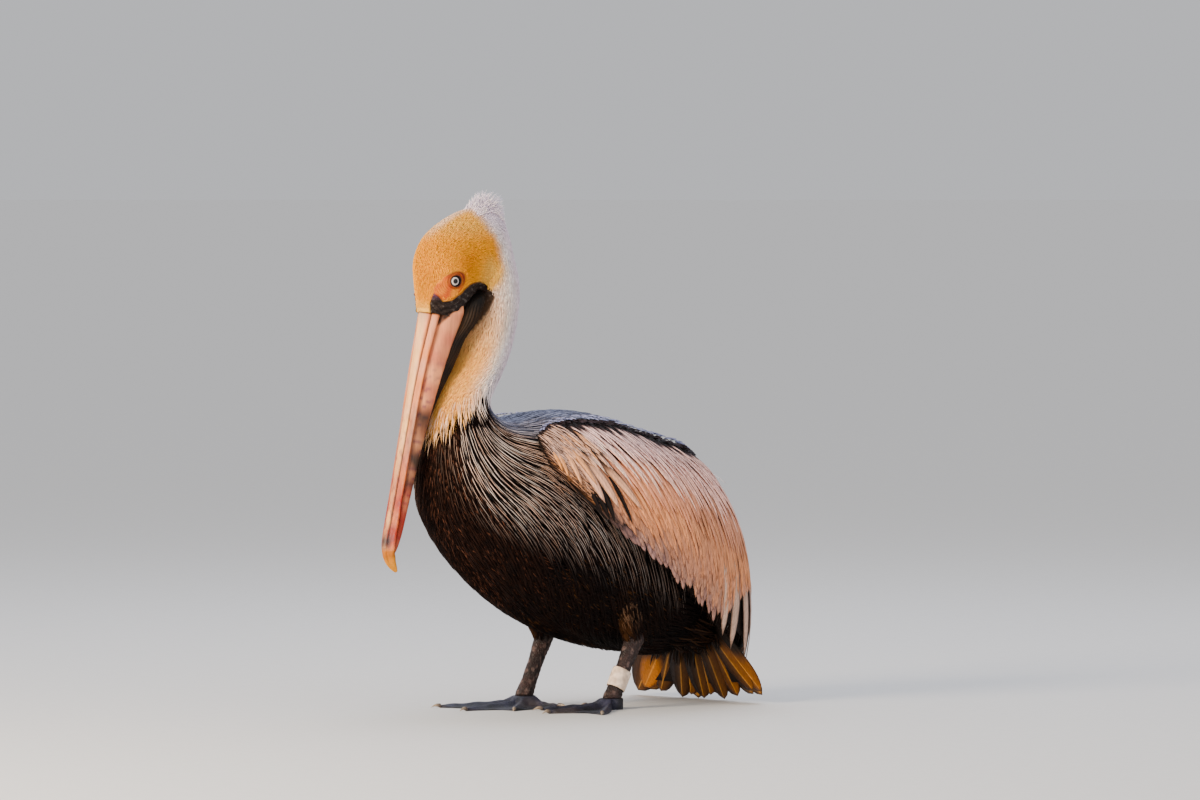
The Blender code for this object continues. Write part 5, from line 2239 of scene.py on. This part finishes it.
    def build_lower(self) -> bpy.types.Object:
        """The lower bill: a rounded bar, thick at the pouch and thin to its tip.

        Returns:
            bpy.types.Object: the piece.
        """
        ends = len(self.lower_rows)
        at = np.linspace(0, ends - 1, self.steps)
        share, wide = superellipse(circle(self.around), 2.6)
        rings = self.sweep(self.lower_rows, ((share + 1) / 2)[None, :], wide[None, :], at)
        table = np.array(self.lower_rows)
        along = np.interp(at, range(ends), table[:, 0])[:, None]
        rear, fore = (np.interp(at, range(ends), table[:, k])[:, None] for k in (3, 1))
        place = mottle(rings, 0.014, 60)
        fine = mottle(rings, 0.0028, 61)
        murk = ease(88, 115, along) * ease(205, 180, along) * ease(1.05, 0.55, share)
        here = rear + (fore - rear) * (share + 1) / 2
        skin = ease(-1.5, 1.5, here - np.interp(along, self.skin_along, self.skin_front))
        colour = layered(
            mix(linear("F29E6C"), linear("CC6C50"), 0.4 + 0.4 * place),
            ("7A3A5A", ease(0.3, 0.8, fine) * ease(20, 110, along) * 0.7),
            ("981A00", ease(160, 215, along) * 0.95 * (0.85 + 0.15 * place)),
            ("2E2A22", murk * (0.7 + 0.25 * place)),
            ("1C0C0A", ease(0.86, 0.97, share) * 0.9),
            ("3A2A22", ease(-0.3, -0.9, share) * ease(120, 60, along) * 0.7),
            (BARE_BLACK, skin * (0.9 + 0.1 * fine)),
        )
        made = tube_mesh("bill_lower", rings, colour)
        return finish_piece(made, HORN, "bill_horn", "lower_bill")

    def build(self) -> None:
        """Builds both halves."""
        self.build_upper()
        self.build_lower()


@dataclass(frozen=True)
class Pouch:
    """The folded pouch under the bill, pleated lengthwise.

    A rib is its front point and its rear point, forward and up, and its half width.
    """

    steps: int = 170
    around: int = 240
    pleats: int = 30
    depth: float = 1.1
    rows: Table = (
        (152, 458, 133, 463, 14.0),
        (163, 449, 135, 455, 25.0),
        (170, 437, 138, 443, 26.5),
        (176, 423, 145, 428, 24.5),
        (187, 405, 159, 409, 20.0),
        (199, 377, 172, 381, 16.4),
        (213, 339, 194, 342, 12.6),
        (224, 301, 210, 304, 10.2),
        (233, 266, 223, 268, 9.0),
        (243, 222, 234, 223, 7.6),
        (251, 190, 244, 191, 5.0),
    )

    def build(self) -> bpy.types.Object:
        """Rings like the pouch's ribs, with a ripple round each of |sin| folds.

        Returns:
            bpy.types.Object: the pouch.
        """
        at = np.linspace(0.3, len(self.rows) - 1, self.steps)
        angle = circle(self.around)
        share, wide = superellipse(angle, 2.2)
        found = spline(self.rows, at)[:, None, :]
        ring_f = found[..., 2] + (found[..., 0] - found[..., 2]) * (share + 1) / 2
        ring_z = found[..., 3] + (found[..., 1] - found[..., 3]) * (share + 1) / 2
        flat = to_world(found[..., 4] * wide, ring_f, ring_z, 1.0)
        middle = flat.mean(axis=1, keepdims=True)
        bend = 1.4 * np.sin(at * 1.3)[:, None] + 0.8 * mottle(flat, 0.03, 71)
        fold = np.abs(np.sin(angle * self.pleats / 2 + bend)) ** 0.8
        depth = self.depth * ease(0.3, 2.0, at) * np.interp(at, [0, 4, 10], [1, 0.8, 0.3])
        height = (fold - 1.0) * depth[:, None] + 0.12 * mottle(flat, 0.003, 72)
        rings = flat + unit(flat - middle) * height[..., None] * MM
        colour = layered(
            # the pouch's own dark brown and its blotches, with painted shade in the pleats' grooves and
            # painted light on their crests
            mix(linear("0E0804"), linear("442A0E"), fold * (0.35 + 0.35 * mottle(flat, 0.02, 73))),
            ("0A0808", ease(3.4, 1.0, at)[:, None] * ease(-0.7, 0.1, np.cos(angle)) * 0.85),
        )
        made = tube_mesh("pouch_folds", rings, colour)
        return finish_piece(made, POUCH, "pouch_skin", "pouch")


@dataclass(frozen=True)
class Eyes:
    """Both eyeballs: pupil, pale iris and dark rim as rings round the gaze."""

    around: int = 64
    pupil: float = 2.5
    iris: float = 4.5
    gaze: tuple[float, float, float] = (1.0, 0.18, -0.02)

    def build(self) -> None:
        """Builds a ball for each side."""
        for side in Side:
            self.ball(side)

    def ball(self, side: Side) -> bpy.types.Object:
        """A ball whose rings run from the gaze's pole to the back one.

        Args:
            side: which eye.

        Returns:
            bpy.types.Object: the eye.
        """
        polar = np.concatenate([np.linspace(0.03, 1.2, 60), np.linspace(1.25, math.pi - 0.05, 24)])
        angle = circle(self.around)
        gaze = self.gaze
        centre = to_world(side.value * EYE[0], EYE[1], EYE[2], 1.0)
        ahead = to_world(side.value * (EYE[0] + gaze[0]), EYE[1] + gaze[1], EYE[2] + gaze[2], 1.0)
        way = unit(ahead - centre)
        right = unit(np.cross([0.0, 0, 1], way))
        up = np.cross(way, right)
        off = np.sin(polar) * EYE_RADIUS
        bulge = 0.35 * np.exp(-((polar / 0.45) ** 2))
        height = np.cos(polar) * EYE_RADIUS + bulge
        spokes = np.cos(angle)[None, :, None] * right + np.sin(angle)[None, :, None] * up
        rings = centre + MM * (off[:, None, None] * spokes + height[:, None, None] * way)
        reach = (off * np.where(polar < math.pi / 2, 1, 9))[:, None]
        rays = 0.5 + 0.5 * np.sin(angle * 23) * np.sin(angle * 9 + 1)
        colour = layered(
            mix(linear("E4D2C8"), linear("9A9A9E"), rays * ease(self.pupil, self.iris, reach)),
            ("3A3638", ease(self.pupil + 0.9, self.pupil + 0.1, reach) * 0.85),
            ("050405", ease(self.pupil + 0.15, self.pupil - 0.15, reach)),
            ("120A08", ease(self.iris - 0.3, self.iris + 0.3, reach)),
        )
        made = tube_mesh(f"eyeball_{side.label}", rings, colour)
        return finish_piece(made, WET, "eye", f"eye_{side.label}")


# --- Legs and feet -----------------------------------------------------------------------------------


@dataclass(frozen=True)
class Leg:
    """One shank with its webbed foot and four claws.

    `axis` is thigh, hock and ankle as stations 0, 1 and 2; `rings_at` are stations,
    with the half widths and depths of the shank there; `turn` turns the foot out, in
    degrees; `web_sag` is how far a web falls back between its toes.
    """

    side: Side
    axis: tuple[tuple[float, float, float], ...]
    turn: float
    around: int = 64
    rings_at: Floats = (0.0, 0.3, 0.85, 1.0, 1.15, 1.45, 1.75, 1.92, 2.0)
    wide: Floats = (11.0, 10.5, 9.0, 9.4, 8.6, 7.2, 7.4, 8.6, 9.6)
    deep: Floats = (15.0, 13.5, 11.5, 12.0, 10.8, 9.4, 9.8, 10.6, 11.4)
    hock_bend: float = 0.12
    hub_high: float = 12.0
    hub_radius: float = 12.5
    web_thick: float = 1.3
    web_sag: float = 0.19
    toe_bearings: Floats = (36.0, 0.0, -31.0, -98.0)
    toe_lengths: Floats = (96.0, 102.0, 80.0, 44.0)
    toe_names: tuple[str, ...] = ("outer", "middle", "inner", "hind")

    def on_axis(self, at: Array) -> Array:
        """Points of the leg's axis at stations 0 to 2."""
        rows = np.array(self.axis, float)
        return np.stack([np.interp(at, range(3), rows[:, k]) for k in range(3)], axis=-1)

    def tube(self, at: Array) -> Array:
        """Elliptical rings square to the axis, over the foot's hub.

        Args:
            at: stations, one for each ring.

        Returns:
            Array: ring by point by 3.
        """
        ahead = unit(self.on_axis(at + self.hock_bend) - self.on_axis(at - self.hock_bend))
        ahead[at >= 2.0] = (0, 0, -1)
        wide = np.interp(at, self.rings_at, self.wide)
        deep = np.interp(at, self.rings_at, self.deep)
        ring = ovals(self.on_axis(at), np.cross(ahead, LEFTWARDS), wide, deep, circle(self.around))
        height = np.maximum(ring[..., 2], self.hub_high - 1.5)
        return to_world(ring[..., 0], ring[..., 1], height)

    def shank(self) -> bpy.types.Object:
        """The shank: rows of scutes down its front, fine scales behind.

        Returns:
            bpy.types.Object: the shank.
        """
        at = np.linspace(0.25, 2.0, 170)
        front = ease(0.2, 0.9, np.sin(circle(self.around)))[None, :]
        plate = np.abs(np.sin(at * 44))[:, None] ** 0.5 * front * 0.5
        knuckle = 0.5 * np.exp(-(((at - 1.0) / 0.06) ** 2))[:, None]
        rings = self.tube(at)
        middle = rings.mean(axis=1, keepdims=True)
        swell = plate - 0.5 + knuckle + 0.25 * mottle(rings, 0.004, 81)
        rings = rings + unit(rings - middle) * swell[..., None] * MM
        colour = layered(
            mix(linear("140C0C"), linear("3C2824"), 0.35 + 0.35 * mottle(rings, 0.012, 82) + 0.45 * plate),
            ("8C7068", ease(0.5, 0.9, mottle(rings, 0.003, 83)) * 0.35),
            ("1E1C20", ease(0.75, 0.3, at)[:, None] * 0.6),
        )
        made = tube_mesh(f"shank_{self.side.label}", rings, colour)
        return finish_piece(made, SCALY, "leg_skin", f"leg_{self.side.label}")

    def reach(self, bearing: Array) -> Array:
        """The foot's outline: webs sag between toes, and the heel is round.

        Args:
            bearing: degrees from straight ahead towards the outer side, -180 to 180.

        Returns:
            Array: millimetres from the ankle.
        """
        spots = np.array(sorted(zip(self.toe_bearings, self.toe_lengths, strict=True)))
        i = np.clip(np.searchsorted(spots[:, 0], bearing) - 1, 0, len(spots) - 2)
        low, high = spots[i], spots[i + 1]
        gap = high[..., 0] - low[..., 0]
        t = (bearing - low[..., 0]) / gap
        sag = self.web_sag * 4 * t * (1 - t) * (1 + 0.25 * gap / 60)
        web = (low[..., 1] + (high[..., 1] - low[..., 1]) * t) * (1 - sag)
        inside = (bearing >= spots[0, 0] - 1e-6) & (bearing <= spots[-1, 0] + 1e-6)
        over = np.minimum(np.abs(bearing - spots[0, 0]), np.abs(bearing - spots[-1, 0]))
        edge = np.where(bearing > 0, spots[-1, 1], spots[0, 1])
        round_toe = edge * np.clip(1 - (over / 7.0) ** 2, 0, 1)
        return np.where(inside, web, np.maximum(self.hub_radius, round_toe))

    def foot(self) -> bpy.types.Object:
        """The webbed foot: height falls from the hub; toes are ridges with knuckles.

        Returns:
            bpy.types.Object: the foot.
        """
        toes = np.array(self.toe_bearings)
        close = (toes[:, None] + np.array([-6, -4, -3, -2, -1, 0, 1, 2, 3, 4, 6])[None, :]).ravel()
        angles = np.unique(np.round(np.concatenate([np.linspace(-180, 178, 150), close]), 3))
        share = np.concatenate([np.linspace(0.04, 0.95, 70), [0.98, 1.0]])
        bearing, part = np.meshgrid(angles, share)
        edge = self.reach(bearing)
        r = np.maximum(part * edge, np.minimum(edge, self.hub_radius * np.minimum(1, part * 4)))
        gap = np.abs((bearing[..., None] - toes + 180) % 360 - 180)
        aside = gap.min(axis=-1) * math.pi / 180 * r
        long = np.array(self.toe_lengths)[gap.argmin(axis=-1)]
        wide = 7.5 - 3.3 * part
        joint = 0.5 * (1 + np.cos(r / long * 2 * math.pi * 3.5))
        high = 8.5 - 4.9 * part + 0.9 * joint * ease(0.1, 0.3, part) - 0.6
        ridge = np.exp(-((aside / wide) ** 2))
        ripple = 0.35 * np.sin(r * 0.55 + 1.2 * np.sin(bearing * 0.12)) * (1 - ridge)
        scute = 0.3 * np.abs(np.sin(r * 1.15)) * ridge
        height = self.web_thick + ripple * 0.5 + (high - self.web_thick) * ridge + scute
        hub = ease(0, 1, (self.hub_radius * 1.9 - r) / (self.hub_radius * 0.9))
        height = height + (self.hub_high - height) * hub
        height = np.where(part >= 1.0, height * 0.55, height)
        turn = np.radians(bearing + self.turn)
        x, f = self.side.value * np.sin(turn) * r, np.cos(turn) * r
        foot_x, foot_f, _ = self.axis[2]
        top = to_world(foot_x + x, foot_f + f, height)
        sole = to_world(foot_x + x[-1], foot_f + f[-1], 0 * x[-1])
        under = to_world(foot_x + x[-1] * 0.5, foot_f + f[-1] * 0.5, 0 * x[-1])
        rings = np.concatenate([top, sole[None], under[None]])
        full = np.concatenate([ridge, 0 * ridge[:2]])
        colour = layered(
            mix(linear("0C0C16"), linear("2E2E44"), 0.25 + 0.4 * mottle(rings, 0.01, 84) + 0.4 * full),
            ("5A4C40", ease(0.3, 1, mottle(rings, 0.025, 85)) * 0.35),
        )
        made = tube_mesh(f"webbed_foot_{self.side.label}", rings, colour)
        return finish_piece(made, WEB, "leg_skin", f"foot_{self.side.label}")

    def claw(self, toe: int) -> bpy.types.Object:
        """A claw: a curved cone, flat to the floor.

        Args:
            toe: which toe.

        Returns:
            bpy.types.Object: the claw.
        """
        turn = math.radians(self.toe_bearings[toe] + self.turn)
        ahead = np.array([self.side.value * math.sin(turn), math.cos(turn), 0.0])
        aside = np.array([ahead[1], -ahead[0], 0.0])
        share = np.linspace(-0.12, 1, 24)
        size = np.interp(share, [-0.12, 0, 1], [2.1, 2.3, 0.35]) * (1 - 0.1 * share**2)
        angle = circle(20)
        start = np.array([*self.axis[2][:2], 0.0])
        middle = start + ahead * (self.toe_lengths[toe] + 0.35 + 10.0 * share[:, None])
        middle[:, 2] = 0.4 + size + 1.3 * np.sin(math.pi * np.clip(share, 0, 1))
        ring = middle[:, None] + np.cos(angle)[None, :, None] * aside * size[:, None, None]
        ring[..., 2] += np.sin(angle) * size[:, None] * 1.05
        rings = to_world(ring[..., 0], ring[..., 1], ring[..., 2])
        pale = ease(0.0, 0.6, share)[:, None] * 0.8 + 0 * angle
        colour = mix(linear("4A3E38"), linear("A08C74"), pale)
        name = self.toe_names[toe]
        made = tube_mesh(f"nail_{self.side.label}_{name}", rings, colour)
        return finish_piece(made, CLAW, "claw_horn", f"claw_{self.side.label}_{name}")

    def build(self) -> None:
        """Builds the shank, the foot and its claws."""
        self.shank()
        self.foot()
        for toe in range(len(self.toe_names)):
            self.claw(toe)


@dataclass(frozen=True)
class Band:
    """The plain ring on the left shank, with a fine slit line.

    `low` and `high` are its ends as stations of the leg, `clear` its gap round the
    shank, and `slit` the angle of its slit.
    """

    leg: Leg
    low: float = 1.53
    high: float = 1.84
    clear: float = 0.7
    thick: float = 1.3
    rounding: float = 0.45
    steps: int = 14
    around: int = 96
    slit: float = 4.4

    def build(self) -> bpy.types.Object:
        """A closed loop of profile rings: out, over a rounded rim, in, and back.

        Returns:
            bpy.types.Object: the band.
        """
        leg, angle = self.leg, circle(self.around)
        centre = leg.on_axis(np.linspace(self.low, self.high, self.steps))
        middle = (self.low + self.high) / 2
        wide, deep = (np.interp(middle, leg.rings_at, sizes) for sizes in (leg.wide, leg.deep))
        forward = np.cross(unit(leg.on_axis(np.array(2.0)) - leg.on_axis(np.array(1.0))), LEFTWARDS)
        share = np.linspace(0, 1, self.steps)
        rim = self.rounding * (1 - ease(0, 0.12, np.minimum(share, share[::-1])))
        outer, inner = self.clear + self.thick - rim, self.clear + rim
        rings = np.concatenate([
            ovals(centre, forward, wide + outer, deep + outer, angle),
            ovals(centre, forward, wide + inner, deep + inner, angle)[::-1],
        ])
        world = to_world(rings[..., 0], rings[..., 1], rings[..., 2])
        count = len(rings)
        faces = grid_faces(count + 1, self.around, True) % (count * self.around)
        colour = layered(
            mix(linear("F6DCC4"), linear("A88A70"), 0.25 + 0.35 * mottle(world, 0.006, 90)),
            ("5A5044", np.exp(-(((angle - self.slit) / 0.05) ** 2)) * 0.8),
        )
        made = make_mesh("ring", world, [faces], colour)
        face_out(made)
        return finish_piece(made, RING, "band", "leg_band")


LEGS = {
    Side.LEFT: Leg(Side.LEFT, ((50, -30, 122), (50, -47, 76), (50, -14, 12.35)), 6.0),
    Side.RIGHT: Leg(Side.RIGHT, ((-50, 14, 122), (-50, -3, 76), (-50, 26, 12.35)), -10.0),
}


# --- Floor, light and camera ---------------------------------------------------------------------------


@dataclass(frozen=True)
class Lamp:
    """A square soft lamp: its place, the length of its side, power and colour."""

    name: str
    place: tuple[float, float, float]
    size: float
    power: float
    colour: tuple[float, float, float]


@dataclass(frozen=True)
class Studio:
    """A pale floor, soft lamps, and the camera.

    The camera stands `distance` metres from its aim, which lies `aim_right` and
    `aim_up` metres from the bird's own origin, as the camera sees right and up.
    """

    azimuth: float = 48.2
    elevation: float = 1.9
    distance: float = 10.0
    lens: float = 272.7
    sensor: float = 36.0
    aim_right: float = 0.0308
    aim_up: float = 0.33825
    horizon: float = 0.64
    zenith: float = 1.14
    reach: float = 60.0
    lamps_aim: tuple[float, float, float] = (0, 0, 0.28)
    lamps: tuple[Lamp, ...] = (
        Lamp("key", (0.1, -3.0, 1.25), 1.2, 192.0, (1.0, 0.84, 0.64)),
        Lamp("fill", (2.8, -0.2, 1.0), 2.4, 18.0, (1.0, 0.95, 0.9)),
        Lamp("top", (-0.9, 1.0, 2.6), 2.2, 50.0, (0.74, 0.82, 1.0)),
    )

    def axes(self) -> tuple[Array, Array, Array]:
        """The camera's right, up and back directions.

        Returns:
            tuple: three unit vectors.
        """
        a, e = math.radians(self.azimuth), math.radians(self.elevation)
        right = np.array([math.cos(a), math.sin(a), 0.0])
        back = np.array([math.sin(a) * math.cos(e), -math.cos(a) * math.cos(e), math.sin(e)])
        return right, np.cross(back, right), back

    def put(self, name: str, data: bpy.types.ID, place: Array, aim: Array) -> bpy.types.Object:
        """Puts a lamp or a camera into the scene.

        Args:
            name: the object's name.
            data: the lamp or the camera.
            place: where it stands.
            aim: what it faces.

        Returns:
            bpy.types.Object: the object.
        """
        made = bpy.data.objects.new(name, data)
        bpy.context.scene.collection.objects.link(made)
        way = Vector(aim - place).to_track_quat("-Z", "Y")
        made.matrix_world = Matrix.LocRotScale(Vector(place), way, None)
        return made

    def light(self, lamp: Lamp) -> None:
        """Lights one lamp, which faces the bird's middle.

        Args:
            lamp: its sizes.
        """
        data = bpy.data.lights.new(lamp.name, "AREA")
        data.size = lamp.size
        data.energy = lamp.power
        data.color = lamp.colour
        self.put(lamp.name, data, np.array(lamp.place), np.array(self.lamps_aim))

    def floor(self) -> None:
        """Builds a wide pale floor with a faint grain."""
        size = self.reach
        points = np.array([(-size, -size, 0), (size, -size, 0), (size, size, 0), (-size, size, 0)], float)
        made = make_mesh("floor", points, [np.array([[0, 1, 2, 3]])])
        material = bpy.data.materials.new("pale_floor")
        material.use_nodes = True
        graph = Graph(material.node_tree)
        grain = graph.noise(graph.node("TexCoord").outputs["Object"], 60.0, 2.0)
        tones = {"A": (0.58, 0.57, 0.56, 1), "B": (0.63, 0.62, 0.61, 1)}
        tint = graph.node("Mix", {"data_type": "RGBA"}, Factor=grain, **tones).outputs["Result"]
        graph.feed(material.node_tree.nodes["Principled BSDF"], Base_Color=tint, Roughness=0.7)
        made.data.materials.append(material)

    def sky(self) -> None:
        """Makes a plain sky whose brightness grows with height, to meet the floor evenly."""
        world = bpy.data.worlds.new("soft_sky")
        world.use_nodes = True
        graph = Graph(world.node_tree)
        parts = graph.node("SeparateXYZ", Vector=graph.node("TexCoord").outputs["Generated"])
        height = graph.node("MapRange", Value=parts.outputs["Z"], To_Min=self.horizon, To_Max=self.zenith)
        sky = world.node_tree.nodes["Background"]
        graph.feed(sky, Color=(0.95, 0.96, 1.0, 1), Strength=height.outputs["Result"])
        bpy.context.scene.world = world

    def camera(self) -> None:
        """Sets up the camera."""
        right, up, back = self.axes()
        aim = MOVE + right * self.aim_right + up * self.aim_up
        data = bpy.data.cameras.new("camera")
        data.lens = self.lens
        data.sensor_width = self.sensor
        data.clip_end = self.reach
        bpy.context.scene.camera = self.put("camera", data, aim + back * self.distance, aim)

    def build(self) -> None:
        """Builds floor, lamps, sky and camera."""
        self.floor()
        for lamp in self.lamps:
            self.light(lamp)
        self.sky()
        self.camera()


def main() -> None:
    """Builds the whole bird and its setting; each piece is logged as it is finished."""
    logging.basicConfig(level=logging.INFO, stream=sys.stderr, format="%(name)s %(message)s")
    Skin().build()
    BodyCoat().build()
    for side in Side:
        WingCoat(side).build()
    TailCoat().build()
    Eyes().build()
    Bill().build()
    Pouch().build()
    for leg in LEGS.values():
        leg.build()
        ThighCoat(leg).build()
    Band(LEGS[Side.LEFT]).build()
    Studio().build()


if __name__ == "__main__":
    main()
